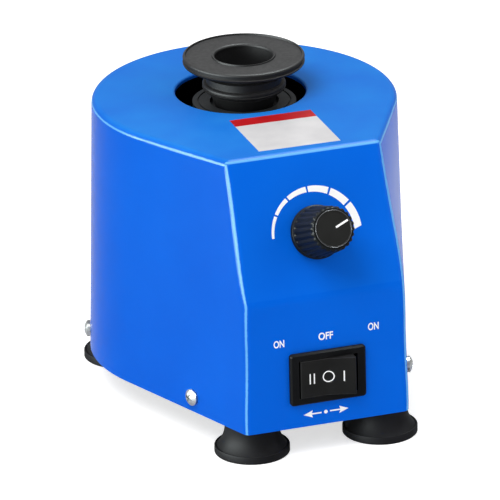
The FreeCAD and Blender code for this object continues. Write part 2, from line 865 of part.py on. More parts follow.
def make_mount_screws():
    """Screws with washers that hold the grommets down on the posts."""
    washer_bottom = lower_plate_top + grommet_flange
    head_bottom = washer_bottom + washer_thickness
    length = head_bottom - (lower_plate_bottom - grommet_flange) + 7.0
    screws = []
    for x, y in mount_places():
        screw = pan_screw(mount_screw_radius, mount_head_radius, mount_head_height, length)
        screw = screw.cut(cross_recess(mount_head_height)).translated(V(x, y, head_bottom))
        washer = cylinder(washer_radius, washer_bottom, head_bottom, x, y)
        screws.append(screw.fuse(washer).removeSplitter())
    return screws


def make_shaft():
    top = hub_bottom + hub_height - 2.0
    shaft = cylinder(shaft_radius, shaft_bottom, top)
    ends = edges_where(shaft, lambda e: abs(e.BoundBox.XLength - 2 * shaft_radius) < 0.01)
    return shaft.makeChamfer(0.5, ends)


def make_rotor():
    """Squirrel-cage rotor: laminated core with a cast end ring at each end."""
    core = cylinder(rotor_radius, stack_bottom, stack_top)
    low = ring(end_ring_radius, end_ring_inner, stack_bottom - end_ring_height, stack_bottom)
    high = ring(end_ring_radius, end_ring_inner, stack_top, stack_top + end_ring_height)
    return fuse_all([core, low, high]).cut(cylinder(shaft_radius, 0, cover_top))


def make_fan():
    """Moulded fan under the rotor, its blades hanging from a thin disc."""
    top = stack_bottom - end_ring_height
    disc = cylinder(fan_radius, top - fan_disc, top)
    hub = cylinder(fan_hub_radius, top - fan_height, top)
    pieces = [disc, hub]
    for i in range(fan_blades):
        blade = box(fan_hub_radius - 1, fan_radius - 0.5, -0.6, 0.6, top - fan_height, top - fan_disc)
        blade.rotate(V(0, 0, 0), Z_AXIS, 360.0 * i / fan_blades)
        pieces.append(blade)
    return fuse_all(pieces).cut(cylinder(shaft_radius, 0, cover_top))


def make_hub():
    """Steel hub on the shaft, with the eccentric pin and its shoulder turned in one piece."""
    hub = cylinder(hub_radius, hub_bottom, hub_top)
    shoulder = cylinder(pin_shoulder_radius, hub_top, bearing_bottom, cup_x, cup_y)
    pin = cylinder(pin_radius, bearing_bottom, pin_top, cup_x, cup_y)
    hub = fuse_all([hub, shoulder, pin])
    hub = hub.cut(cylinder(shaft_radius, hub_bottom - 1, hub_bottom + hub_height - 2.0))
    groove = ring(pin_radius + 1, pin_radius - circlip_depth, bearing_top, bearing_top + circlip_thickness - 0.1,
                  cup_x, cup_y)
    hub = hub.cut(groove)
    for frame in set_screw_frames():
        hub = hub.cut(placed(cylinder(set_screw_radius, -hub_radius, 1.0), frame))
    return hub


def set_screw_frames():
    """Two set screws through the hub's light side, a quarter turn apart."""
    frames = []
    for turn in (-45.0, 45.0):
        a = math.radians(pin_angle_deg + turn)
        out = V(math.cos(a), math.sin(a), 0)
        frames.append(FreeCAD.Placement(V(out.x * hub_radius, out.y * hub_radius, hub_bottom + 4.2),
                                        FreeCAD.Rotation(Z_AXIS, out)))
    return frames


def make_set_screws():
    length = hub_radius - shaft_radius
    screw = cylinder(set_screw_radius, -length, 0).cut(hexagon(2.0, -2.0, 1.0))
    return [placed(screw, frame) for frame in set_screw_frames()]


def make_counterweight():
    """Part ring clamped round the hub on the side away from the pin."""
    bottom = hub_bottom + 0.8
    half = weight_spread_deg / 2
    sector = Part.makeCylinder(weight_radius, weight_height, V(0, 0, bottom), Z_AXIS, weight_spread_deg)
    sector.rotate(V(0, 0, 0), Z_AXIS, pin_angle_deg + 180 - half)
    return sector.cut(cylinder(hub_radius, 0, cover_top))


def make_pin_circlip():
    bottom = bearing_top
    clip = ring(pin_radius + 1.4, pin_radius - circlip_depth, bottom, bottom + circlip_thickness - 0.1, cup_x, cup_y)
    return clip.cut(box(cup_x + 1, cup_x + 9, cup_y - 1.2, cup_y + 1.2, 0, cover_top))


def raceway(inner, outer, groove_radius):
    """One bearing ring with its ball groove."""
    middle = (bearing_bottom + bearing_top) / 2
    race = ring(outer, inner, bearing_bottom, bearing_top)
    pitch = (pin_radius + bearing_outer_radius) / 2
    groove = Part.makeTorus(pitch, groove_radius, V(0, 0, middle))
    return race.cut(groove).translated(V(cup_x, cup_y, 0))


def make_inner_race():
    return raceway(pin_radius, pin_radius + race_wall, bearing_ball_radius + ball_play)


def make_outer_race():
    return raceway(bearing_outer_radius - race_wall, bearing_outer_radius, bearing_ball_radius + ball_play)


def make_bearing_balls():
    """Balls in a pocketed cage that touches neither race."""
    middle = (bearing_bottom + bearing_top) / 2
    pitch = (pin_radius + bearing_outer_radius) / 2
    half = cage_height / 2
    cage = ring(pitch + cage_thickness / 2, pitch - cage_thickness / 2, middle - half, middle + half)
    balls = []
    for i in range(bearing_balls):
        a = 2 * math.pi * i / bearing_balls
        out = V(math.cos(a), math.sin(a), 0)
        pocket = Part.makeCylinder(bearing_ball_radius + ball_play, bearing_outer_radius, V(0, 0, middle), out)
        cage = cage.cut(pocket)
        balls.append(Part.makeSphere(bearing_ball_radius, V(0, 0, middle) + out * pitch))
    return [shape.translated(V(cup_x, cup_y, 0)) for shape in [cage] + balls]


def make_housing():
    """Bearing housing with the grey stepped disc and the stub that holds the cup."""
    body = cylinder(housing_radius, housing_bottom, cup_seat)
    disc = cylinder(disc_radius, disc_bottom, disc_top)
    housing = body.fuse(disc)
    housing = housing.cut(cylinder(bearing_outer_radius, housing_bottom - 1, bearing_top))
    housing = housing.cut(cylinder(bearing_outer_radius - race_wall, bearing_top, pin_top + 0.8))
    clip_bottom = bearing_bottom - circlip_thickness
    housing = housing.cut(ring(bearing_outer_radius + circlip_depth, bearing_outer_radius - 1,
                               clip_bottom, bearing_bottom))
    housing = housing.cut(cylinder(cup_seat_radius, cup_seat, disc_top + 1))
    groove_inner = disc_groove_radius - disc_groove_width
    housing = housing.cut(ring(disc_groove_radius, groove_inner, disc_top - disc_step, disc_top + 1))
    stub = cylinder(stub_radius, cup_seat, stub_top)
    stub = stub.makeChamfer(0.6, edges_where(stub, lambda e: e.BoundBox.ZMin > stub_top - 0.01
                                             and e.BoundBox.XLength > 1))
    return housing.fuse(stub).removeSplitter().translated(V(cup_x, cup_y, 0))


def make_housing_circlip():
    bottom = bearing_bottom - circlip_thickness
    clip = ring(bearing_outer_radius + circlip_depth, bearing_outer_radius - 1.6, bottom, bearing_bottom)
    clip = clip.translated(V(cup_x, cup_y, 0))
    return clip.cut(box(cup_x + 7, cup_x + 15, cup_y - 1.5, cup_y + 1.5, 0, cover_top))


def make_cup():
    """Rubber cup: wide flange, neck with a bead, tapering foot, and a round-bottomed well."""
    base = cup_seat
    flange_bottom = cup_height - cup_flange
    bore = cup_bore_radius
    well = cup_height - cup_bore_depth
    edge = 0.6
    outline = Part.Wire([
        Part.makeLine(V(stub_radius, 0, 0), V(cup_cone_bottom, 0, 0)),
        Part.makeLine(V(cup_cone_bottom, 0, 0), V(cup_cone_top, 0, cup_bead_level - cup_bead_half - 2.2)),
        Part.makeLine(V(cup_cone_top, 0, cup_bead_level - cup_bead_half - 2.2),
                      V(cup_neck_radius - 0.3, 0, cup_bead_level - cup_bead_half)),
        Part.Arc(V(cup_neck_radius - 0.3, 0, cup_bead_level - cup_bead_half),
                 V(cup_bead_radius, 0, cup_bead_level),
                 V(cup_neck_radius, 0, cup_bead_level + cup_bead_half)).toShape(),
        Part.makeLine(V(cup_neck_radius, 0, cup_bead_level + cup_bead_half),
                      V(cup_neck_radius, 0, flange_bottom - 1.0)),
        Part.Arc(V(cup_neck_radius, 0, flange_bottom - 1.0), V(cup_neck_radius + 0.3, 0, flange_bottom - 0.3),
                 V(cup_neck_radius + 1.0, 0, flange_bottom)).toShape(),
        Part.makeLine(V(cup_neck_radius + 1.0, 0, flange_bottom), V(cup_flange_radius - edge, 0, flange_bottom)),
        Part.Arc(V(cup_flange_radius - edge, 0, flange_bottom),
                 V(cup_flange_radius - 0.3 * edge, 0, flange_bottom + 0.3 * edge),
                 V(cup_flange_radius, 0, flange_bottom + edge)).toShape(),
        Part.makeLine(V(cup_flange_radius, 0, flange_bottom + edge), V(cup_flange_radius, 0, cup_height - edge)),
        Part.Arc(V(cup_flange_radius, 0, cup_height - edge),
                 V(cup_flange_radius - 0.3 * edge, 0, cup_height - 0.3 * edge),
                 V(cup_flange_radius - edge, 0, cup_height)).toShape(),
        Part.makeLine(V(cup_flange_radius - edge, 0, cup_height), V(bore + edge, 0, cup_height)),
        Part.Arc(V(bore + edge, 0, cup_height), V(bore + 0.3 * edge, 0, cup_height - 0.3 * edge),
                 V(bore, 0, cup_height - edge)).toShape(),
        Part.makeLine(V(bore, 0, cup_height - edge), V(bore, 0, well)),
        dome(bore, well, well - cup_bowl_depth),
        Part.makeLine(V(0, 0, well - cup_bowl_depth), V(0, 0, stub_height)),
        Part.makeLine(V(0, 0, stub_height), V(stub_radius, 0, stub_height)),
        Part.makeLine(V(stub_radius, 0, stub_height), V(stub_radius, 0, 0)),
    ])
    cup = Part.Face(outline).revolve(V(0, 0, 0), Z_AXIS, 360)
    return cup.translated(V(cup_x, cup_y, base))


def make_pot_body():
    """Potentiometer: metal can behind the panel, threaded bushing through it, three lugs."""
    can = cylinder(pot_radius, -cover_wall - pot_depth, -cover_wall)
    bushing = cylinder(pot_bushing_radius, -cover_wall, pot_bushing_length)
    lugs = []
    for x in (-5.0, 0.0, 5.0):
        lugs.append(box(x - 1.0, x + 1.0, -pot_radius - 5.0, -pot_radius + 1.5, -cover_wall - 5.0, -cover_wall - 4.2))
    whole = fuse_all([can, bushing] + lugs)
    bore = cylinder(pot_shaft_radius + shaft_clearance, -cover_wall - 3.0, pot_bushing_length + 1)
    return placed(whole.cut(bore), slope_panel)


def make_pot_nut():
    washer = cylinder(pot_washer_radius, 0, pot_washer_thickness)
    nut = hexagon(pot_nut_flats, pot_washer_thickness, pot_washer_thickness + pot_nut_height)
    whole = washer.fuse(nut).cut(cylinder(pot_bushing_radius, -1, 9))
    return placed(whole, slope_panel)


def make_pot_shaft():
    """Round shaft with a flat on the part that the knob grips."""
    shaft = cylinder(pot_shaft_radius, -cover_wall - 2.9, pot_shaft_length)
    flat_start = knob_gap + knob_cavity_depth
    flat = box(-4, 4, 0.5 * pot_shaft_radius, 4, flat_start, pot_shaft_length + 1)
    return placed(shaft.cut(flat), slope_panel.multiply(knob_turn()))


def knob_turn():
    """Turn about the panel's normal that brings the knob's pointer from 12 o'clock to its setting."""
    return FreeCAD.Placement(V(0, 0, 0), FreeCAD.Rotation(Z_AXIS, -pointer_deg))


def make_knob():
    """Tapered knob with a smooth collar, fluted grip and a recessed face."""
    bottom = knob_gap
    top = knob_gap + knob_length
    waist = knob_gap + knob_collar
    shoulder = 1.1
    knob = turned([
        (0, bottom),
        (knob_radius, bottom),
        (knob_radius, waist),
        (knob_radius - 0.5, waist + 0.5),
        (knob_face_radius + 0.3, top - shoulder),
        (knob_face_radius - 0.5, top),
        (0, top),
    ])
    for i in range(knob_flutes):
        a = 2 * math.pi * i / knob_flutes
        low = V((knob_radius + 0.1) * math.cos(a), (knob_radius + 0.1) * math.sin(a), waist + 1.4)
        high_radius = knob_face_radius + 0.35
        high = V(high_radius * math.cos(a), high_radius * math.sin(a), top + 0.5)
        flute = Part.makeCylinder(flute_radius, (high - low).Length, low, high - low)
        knob = knob.cut(flute.fuse(Part.makeSphere(flute_radius, low)))
    knob = knob.cut(cylinder(knob_cavity_radius, bottom - 1, bottom + knob_cavity_depth))
    bore = cylinder(pot_shaft_radius, bottom, pot_shaft_length)
    flat = box(-4, 4, 0.5 * pot_shaft_radius, 4, knob_gap + knob_cavity_depth, pot_shaft_length + 1)
    knob = knob.cut(bore.cut(flat))
    knob = knob.cut(cylinder(cap_radius, top - cap_thickness, top + 1))
    return placed(knob, slope_panel.multiply(knob_turn()))


def make_knob_cap():
    top = knob_gap + knob_length
    rim = turned([
        (0, top - cap_thickness),
        (cap_radius, top - cap_thickness),
        (cap_radius, top + cap_lip - cap_bevel),
        (cap_radius - cap_bevel, top + cap_lip),
        (0, top + cap_lip),
    ])
    face = cylinder(cap_radius - 0.7, top + cap_lip - 0.15, top + cap_lip + 1)
    return placed(rim.cut(face), slope_panel.multiply(knob_turn()))


def make_rocker_housing():
    """Switch housing: bezel on the panel, box behind it, window for the rocker, pivot bosses."""
    bezel = rounded_plate(bezel_width, bezel_height, bezel_corner, 0, bezel_thickness)
    front = [e for e in bezel.Edges if e.BoundBox.ZMin > bezel_thickness - 0.01]
    bezel = bezel.makeChamfer(0.6, front)
    body = rounded_plate(rocker_body_width, rocker_body_height, rocker_body_corner, -rocker_body_depth, 0)
    latches = []
    for side in (-1, 1):
        y = side * rocker_body_height / 2
        latches.append(box(-latch_length / 2, latch_length / 2, min(y, y + side * latch_depth),
                           max(y, y + side * latch_depth), -cover_wall - 3.0, -cover_wall))
    housing = fuse_all([bezel, body] + latches)
    window = rounded_plate(window_width, window_height, 0.3, -rocker_body_depth + 6.0, bezel_thickness + 1)
    housing = housing.cut(window)
    for side in (-1, 1):
        pivot = V(0, side * window_height / 2, -rocker_pivot_depth)
        housing = housing.cut(Part.makeCylinder(rocker_pin_radius + shaft_clearance, rocker_pin_length,
                                                pivot, V(0, side, 0)))
    return placed(housing, upright_panel)


def make_rocker():
    """Three-position rocker, its face bent to a shallow V, shown with its left end pressed in."""
    half = window_width / 2 - rocker_end_gap
    wide = window_height / 2 - rocker_side_gap
    tilt = math.radians(rocker_tilt_deg)
    face = bezel_thickness + rocker_pivot_depth + rocker_face_lift
    rise = half * math.tan(tilt)
    below = rocker_thickness
    outline = [
        V(-half, 0, face + rise),
        V(0, 0, face),
        V(half, 0, face + rise),
        V(half - 1.6, 0, face + rise - below),
        V(0, 0, -rocker_pin_radius - 2.0),
        V(-half + 1.6, 0, face + rise - below),
    ]
    rocker = Part.Face(rounded_wire(outline, [0.7, 6.0, 0.7, 1.0, 3.0, 1.0])).extrude(V(0, 2 * wide, 0))
    rocker.translate(V(0, -wide, 0))
    for side in (-1, 1):
        length = rocker_side_gap + rocker_pin_length - shaft_clearance
        pin = Part.makeCylinder(rocker_pin_radius, length, V(0, side * wide, 0), V(0, side, 0))
        rocker = rocker.fuse(pin)
    tip = FreeCAD.Placement(V(0, 0, -rocker_pivot_depth), FreeCAD.Rotation(Y_AXIS, -rocker_tilt_deg))
    return placed(placed(rocker.removeSplitter(), tip), upright_panel)


def make_rocker_terminals():
    tabs = []
    for x in (-terminal_pitch, 0, terminal_pitch):
        tab = box(x - terminal_thickness / 2, x + terminal_thickness / 2, -terminal_width / 2, terminal_width / 2,
                  -rocker_body_depth - terminal_length, -rocker_body_depth)
        hole = Part.makeCylinder(0.9, 4, V(x - 2, 0, -rocker_body_depth - terminal_length + 2.4), X_AXIS)
        tabs.append(placed(tab.cut(hole), upright_panel))
    return tabs


def make_inlet():
    """Appliance inlet: flange on the cover's flat, body behind, six-sided socket."""
    flange = rounded_plate(inlet_flange_height, inlet_flange_width, inlet_corner, 0, inlet_flange_thickness)
    body = rounded_plate(inlet_body_height, inlet_body_width, inlet_corner, -inlet_body_depth, 0)
    latches = []
    for side in (-1, 1):
        y = side * inlet_body_width / 2
        latches.append(box(-latch_length / 2, latch_length / 2, min(y, y + side * latch_depth),
                           max(y, y + side * latch_depth), -cover_wall - 4.0, -cover_wall - 0.6))
    whole = fuse_all([flange, body] + latches)
    h = socket_height / 2
    w = socket_width / 2
    c = socket_corner
    bottom = inlet_flange_thickness - socket_depth
    points = [V(-h, -w, bottom), V(h, -w, bottom), V(h, w - c, bottom), V(h - c, w, bottom),
              V(-h + c, w, bottom), V(-h, w - c, bottom)]
    socket = Part.Face(rounded_wire(points, [1.0, 1.0, 0.8, 0.8, 0.8, 0.8])).extrude(V(0, 0, socket_depth + 1))
    whole = whole.cut(socket)
    for x, y in blade_places():
        whole = whole.cut(blade(x, y))
    return placed(whole, inlet_frame)


def blade_places():
    return [(-pin_pitch / 2, -earth_offset / 2), (pin_pitch / 2, -earth_offset / 2), (0, earth_offset / 2)]


def blade(x, y):
    bottom = inlet_flange_thickness - socket_depth - pin_blade_tail
    top = inlet_flange_thickness - socket_depth + pin_blade_length
    return box(x - pin_blade_thickness / 2, x + pin_blade_thickness / 2,
               y - pin_blade_width / 2, y + pin_blade_width / 2, bottom, top)


def make_inlet_blades():
    blades = []
    for x, y in blade_places():
        shape = blade(x, y)
        tips = [e for e in shape.Edges if e.BoundBox.ZMin > shape.BoundBox.ZMax - 0.01]
        blades.append(placed(shape.makeChamfer(0.5, tips), inlet_frame))
    return blades


def board_corners():
    x = board_length / 2 - board_hole_inset
    y = board_width / 2 - board_hole_inset
    return [(side_x * x, arc_y - board_reach + side_y * y) for side_x in (-1, 1) for side_y in (-1, 1)]


def make_board():
    bottom = tray_floor + standoff_height
    board = rounded_plate(board_length, board_width, 1.5, bottom, bottom + board_thickness, 0, arc_y - board_reach)
    for x, y in board_corners():
        board = board.cut(cylinder(board_screw_radius, bottom - 1, bottom + board_thickness + 1, x, y))
    return board


def make_standoffs():
    top = tray_floor + standoff_height
    return [ring(standoff_radius, board_screw_radius, tray_floor, top, x, y) for x, y in board_corners()]


def make_board_screws():
    level = tray_floor + standoff_height + board_thickness
    screw = pan_screw(board_screw_radius, board_screw_head, 1.7, board_thickness + standoff_height - 0.5)
    return [screw.translated(V(x, y, level)) for x, y in board_corners()]


def make_heat_sink():
    """Folded aluminium heat sink with three fins, standing on the board."""
    bottom = tray_floor + standoff_height + board_thickness
    y = arc_y - board_reach + 6.0
    half = sink_length / 2
    back = box(-half, half, y, y + sink_thickness, bottom, bottom + sink_height)
    fins = [box(x, x + sink_thickness, y - 8.0, y, bottom, bottom + sink_height)
            for x in (-half, -sink_thickness / 2, half - sink_thickness)]
    return fuse_all([back] + fins)


def make_triac():
    """Switching device screwed to the back of the heat sink, with three leads into the board."""
    bottom = tray_floor + standoff_height + board_thickness
    y = arc_y - board_reach + 6.0 + sink_thickness
    body = box(-5, 5, y, y + 4.4, bottom + 3.0, bottom + 12.0)
    tab = box(-5, 5, y, y + 1.3, bottom + 12.0, bottom + 15.5)
    leads = [box(x - 0.4, x + 0.4, y + 1.8, y + 2.4, bottom, bottom + 3.0) for x in (-2.5, 0, 2.5)]
    return fuse_all([body, tab] + leads)


def make_capacitors():
    bottom = tray_floor + standoff_height + board_thickness
    y = arc_y - board_reach
    film = box(-16.5, -9.5, y - 8.5, y - 2.5, bottom, bottom + 11.0)
    film = film.makeFillet(0.6, film.Edges)
    can = cylinder(4.0, bottom, bottom + 11.0, 15.5, y - 3.0)
    return [film, can]


def make_terminal_block():
    bottom = tray_floor + standoff_height + board_thickness
    y0 = arc_y - board_reach - board_width / 2 + 0.5
    block = box(-9, 9, y0, y0 + 7.0, bottom, bottom + 8.0)
    for x in (-6.0, 0.0, 6.0):
        block = block.cut(box(x - 1.8, x + 1.8, y0 - 1, y0 + 4.0, bottom + 1.0, bottom + 4.5))
        block = block.cut(cylinder(1.5, bottom + 5.5, bottom + 9, x, y0 + 3.4))
    return block


nodes = {
    "cover": [make_cover()],
    "base_tray": [make_tray()],
    "cover_screws": make_side_screws(),
    "foot_screws": make_foot_screws(),
    "foot_nuts": make_foot_nuts(),
    "spring_guide": [make_spring_guide()],
    "thrust_plunger": [make_plunger()],
    "thrust_ball": [Part.makeSphere(ball_radius, V(0, 0, arm_top))],
    "return_spring": [make_return_spring()],
    "touch_switch_body": [make_touch_switch()],
    "touch_switch_bracket": [make_switch_bracket()],
    "touch_switch_lever": [make_switch_lever()],
    "touch_switch_pin": [make_switch_pin()],
    "lower_motor_bracket": [make_lower_bracket()],
    "upper_motor_bracket": [make_upper_bracket()],
    "lower_sleeve_bearing": [make_sleeve(lower_boss_bottom)],
    "upper_sleeve_bearing": [make_sleeve(upper_boss_bottom)],
    "stator_stack": [make_stator()],
    "coil_bobbin": [make_bobbin()],
    "coil_winding": [make_winding()],
    "motor_through_bolts": make_through_bolts(),
    "motor_posts": make_posts(),
    "motor_grommets": make_grommets(),
    "motor_mount_screws": make_mount_screws(),
    "motor_shaft": [make_shaft()],
    "rotor": [make_rotor()],
    "cooling_fan": [make_fan()],
    "eccentric_hub": [make_hub()],
    "hub_set_screws": make_set_screws(),
    "counterweight": [make_counterweight()],
    "pin_circlip": [make_pin_circlip()],
    "bearing_inner_race": [make_inner_race()],
    "bearing_outer_race": [make_outer_race()],
    "bearing_balls": make_bearing_balls(),
    "head_housing": [make_housing()],
    "housing_circlip": [make_housing_circlip()],
    "mixing_cup": [make_cup()],
    "speed_potentiometer": [make_pot_body()],
    "potentiometer_nut": [make_pot_nut()],
    "potentiometer_shaft": [make_pot_shaft()],
    "speed_knob": [make_knob()],
    "knob_cap": [make_knob_cap()],
    "rocker_housing": [make_rocker_housing()],
    "rocker_button": [make_rocker()],
    "rocker_terminals": make_rocker_terminals(),
    "power_inlet": [make_inlet()],
    "inlet_blades": make_inlet_blades(),
    "control_board": [make_board()],
    "board_standoffs": make_standoffs(),
    "board_screws": make_board_screws(),
    "heat_sink": [make_heat_sink()],
    "triac": [make_triac()],
    "board_capacitors": make_capacitors(),
    "terminal_block": [make_terminal_block()],
}
for place, (x, y) in foot_places.items():
    nodes["foot_" + place] = [make_foot(x, y)]

os.makedirs("parts", exist_ok=True)
for name, shapes in nodes.items():
    save(name, shapes)
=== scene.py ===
import json
import math
import bmesh
import bpy
from mathutils import Matrix, Vector
from mathutils.bvhtree import BVHTree


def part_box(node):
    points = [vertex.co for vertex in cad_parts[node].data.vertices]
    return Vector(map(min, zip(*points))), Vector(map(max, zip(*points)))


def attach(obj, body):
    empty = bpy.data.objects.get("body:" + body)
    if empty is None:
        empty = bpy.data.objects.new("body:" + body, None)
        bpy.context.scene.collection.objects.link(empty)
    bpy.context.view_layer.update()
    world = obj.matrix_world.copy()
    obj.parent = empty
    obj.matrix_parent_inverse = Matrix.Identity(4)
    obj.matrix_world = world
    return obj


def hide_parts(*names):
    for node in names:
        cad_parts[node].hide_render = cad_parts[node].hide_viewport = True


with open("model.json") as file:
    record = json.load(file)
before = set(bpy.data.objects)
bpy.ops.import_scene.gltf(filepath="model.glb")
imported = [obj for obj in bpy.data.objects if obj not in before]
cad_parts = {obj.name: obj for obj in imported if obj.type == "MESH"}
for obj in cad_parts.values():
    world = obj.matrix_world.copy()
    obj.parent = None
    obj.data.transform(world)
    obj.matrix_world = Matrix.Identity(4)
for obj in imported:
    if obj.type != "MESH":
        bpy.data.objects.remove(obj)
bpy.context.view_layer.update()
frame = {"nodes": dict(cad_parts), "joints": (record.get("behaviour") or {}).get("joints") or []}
joints = {joint["name"]: joint for joint in frame["joints"]}
mm = 0.001

# Cover. An open-bottomed alloy casting, round at the back and drawn in to a narrow sloped front.
# It is blasted, sprayed with blue powder and baked, which leaves a satin skin with a faint orange peel.
# A pale cyan painted highlight is laid along its rounded edges.
paint_dark = (0, 95, 216)
paint_light = (0, 102, 224)
# Painted highlight: the pale cyan laid along the cover's rounded edges.
painted_edge_highlight = (126, 206, 255)
# Painted sheen: a lighter cyan mixed into upward faces, in patches, standing in for light from above.
painted_top_sheen = (66, 192, 255)
# Painted shade: near black for the cover's inner faces.
inner_shade_colour = (10, 11, 13)
paint_roughness = 0.19
peel_per_metre = 520.0
peel_depth = 0.012 * mm
painted_rim = 1.8 * mm
paint_gloss = 0.045
top_sheen_amount = 0.32
# Bands of facing where the painted edge highlight lies, and how strongly it is mixed in.
wall_highlight_band = (0.2, 0.54)
wall_facing = -0.75
front_highlight_band = (0.5, 0.84)
front_facing = -0.45
corner_highlight_band = (0.42, 0.78)
corner_tilt = 0.46
highlight_strength = 0.7
cover_low, cover_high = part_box("cover")
motor_axis = Vector(joints["motor_spin"]["pos_m"])
arc_offset = 4.5 * mm
arc_middle_y = motor_axis.y - arc_offset


def linear(colour):
    """Linear red, green, blue and 1 for a colour written in display values from 0 to 255."""
    made = []
    for value in colour:
        share = value / 255.0
        made.append(share / 12.92 if share <= 0.04045 else ((share + 0.055) / 1.055) ** 2.4)
    return (*made, 1.0)


def add_node(tree, kind, inputs=None, **settings):
    """A shader node with its settings made and its sockets set or linked."""
    made = tree.nodes.new(kind)
    for key, value in settings.items():
        setattr(made, key, value)
    for key, value in (inputs or {}).items():
        if isinstance(value, bpy.types.NodeSocket):
            tree.links.new(value, made.inputs[key])
        else:
            made.inputs[key].default_value = value
    return made


def new_group(name, takes, gives):
    """A shader node group; takes maps each input to its default number, gives lists the outputs."""
    group = bpy.data.node_groups.new(name, "ShaderNodeTree")
    for label, default in takes.items():
        socket = group.interface.new_socket(name=label, in_out="INPUT", socket_type="NodeSocketFloat")
        socket.default_value = default
    for label in gives:
        group.interface.new_socket(name=label, in_out="OUTPUT", socket_type="NodeSocketFloat")
    return group, add_node(group, "NodeGroupInput"), add_node(group, "NodeGroupOutput")


def sum_of(tree, first, second, operation="ADD"):
    """Output of a math node on two numbers or sockets."""
    return add_node(tree, "ShaderNodeMath", {0: first, 1: second}, operation=operation).outputs[0]


def moulded_grain():
    """Fine skin of a sprayed or moulded surface, and the slow drift of its tone."""
    group, takes, gives = new_group("moulded_grain", {"Grains per metre": 900.0, "Drift per metre": 26.0},
                                    ["Height", "Tone"])
    place = add_node(group, "ShaderNodeTexCoord").outputs["Object"]
    fine = add_node(group, "ShaderNodeTexNoise", {"Vector": place, "Detail": 2.0, "Roughness": 0.5,
                                                  "Scale": takes.outputs["Grains per metre"]})
    half = sum_of(group, takes.outputs["Grains per metre"], 0.43, "MULTIPLY")
    cell = add_node(group, "ShaderNodeTexVoronoi", {"Vector": place, "Scale": half}, feature="SMOOTH_F1")
    height = sum_of(group, fine.outputs["Fac"], sum_of(group, cell.outputs["Distance"], 0.35, "MULTIPLY"))
    drift = add_node(group, "ShaderNodeTexNoise", {"Vector": place, "Detail": 3.0, "Roughness": 0.55,
                                                   "Scale": takes.outputs["Drift per metre"]})
    group.links.new(height, gives.inputs["Height"])
    group.links.new(drift.outputs["Fac"], gives.inputs["Tone"])
    return group


def dust_and_top_light():
    """Thin dust that lies on faces turned upwards, patchy from handling; where it is strong, a painted
    lighter top standing in for light from above.
    """
    group, takes, gives = new_group("dust_and_top_light", {"Amount": 0.5, "Patches per metre": 90.0}, ["Mask"])
    coords = add_node(group, "ShaderNodeTexCoord")
    up = add_node(group, "ShaderNodeSeparateXYZ", {0: coords.outputs["Normal"]}).outputs["Z"]
    facing = add_node(group, "ShaderNodeMapRange",
                      {"Value": up, "From Min": 0.35, "From Max": 0.95}).outputs[0]
    patch = add_node(group, "ShaderNodeTexNoise", {"Vector": coords.outputs["Object"], "Detail": 6.0,
                                                   "Scale": takes.outputs["Patches per metre"],
                                                   "Roughness": 0.65}).outputs["Fac"]
    spread = add_node(group, "ShaderNodeMapRange", {"Value": patch, "From Min": 0.3, "From Max": 0.75,
                                                    "To Min": 0.45}).outputs[0]
    amount = sum_of(group, sum_of(group, facing, spread, "MULTIPLY"), takes.outputs["Amount"], "MULTIPLY")
    group.links.new(amount, gives.inputs["Mask"])
    return group


grain_group = moulded_grain()
dust_and_top_light_group = dust_and_top_light()


def new_material(name, plain):
    """A material with a Principled shader, its plain values set by socket name."""
    made = bpy.data.materials.new(name)
    made.use_nodes = True
    shader = made.node_tree.nodes["Principled BSDF"]
    for label, value in plain.items():
        shader.inputs[label].default_value = value
    return made, made.node_tree, shader


def use_group(tree, group, values):
    return add_node(tree, "ShaderNodeGroup", values, node_tree=group).outputs


def mixed(tree, share, first, second):
    """Colour between two, each a display colour or a socket, by a share."""
    made = add_node(tree, "ShaderNodeMix", data_type="RGBA")
    for index, value in ((6, first), (7, second)):
        if isinstance(value, bpy.types.NodeSocket):
            tree.links.new(value, made.inputs[index])
        else:
            made.inputs[index].default_value = linear(value)
    if isinstance(share, bpy.types.NodeSocket):
        tree.links.new(share, made.inputs[0])
    else:
        made.inputs[0].default_value = share
    return made.outputs[2]


def ranged(tree, value, low, high, from_low=0.0, from_high=1.0):
    """The value moved from one range to another."""
    return add_node(tree, "ShaderNodeMapRange", {"Value": value, "From Min": from_low,
                                                 "From Max": from_high, "To Min": low,
                                                 "To Max": high}).outputs[0]


def two_tone(tree, tone, dark, light, low=0.3, high=0.7):
    """Colour that drifts from dark to light as the tone goes from low to high."""
    return mixed(tree, ranged(tree, tone, 0.0, 1.0, low, high), dark, light)


def bump(tree, shader, height, depth):
    """Small relief: height from 0 to 1 stands for a depth in metres."""
    relief = add_node(tree, "ShaderNodeBump", {"Height": height, "Distance": depth, "Strength": 1.0})
    tree.links.new(relief.outputs["Normal"], shader.inputs["Normal"])


def both(tree, first, second):
    """1 where two masks are both 1."""
    return sum_of(tree, first, second, "MULTIPLY")


def between(tree, value, low, high, soft=0.1):
    """1 where a value lies between two limits, fading over a soft margin inside them."""
    rising = ranged(tree, value, 0.0, 1.0, low, low + soft)
    falling = ranged(tree, value, 1.0, 0.0, high - soft, high)
    return both(tree, rising, falling)


def cover_faces(tree):
    """Where a point of the cover is, where it faces, and how far it faces away from the round back's axis."""
    coords = add_node(tree, "ShaderNodeTexCoord").outputs
    place = add_node(tree, "ShaderNodeSeparateXYZ", {0: coords["Object"]}).outputs
    facing = add_node(tree, "ShaderNodeSeparateXYZ", {0: coords["Normal"]}).outputs
    from_middle = sum_of(tree, place["Y"], arc_middle_y, "SUBTRACT")
    outward = sum_of(tree, sum_of(tree, place["X"], facing["X"], "MULTIPLY"),
                     sum_of(tree, from_middle, facing["Y"], "MULTIPLY"))
    return place, facing, outward


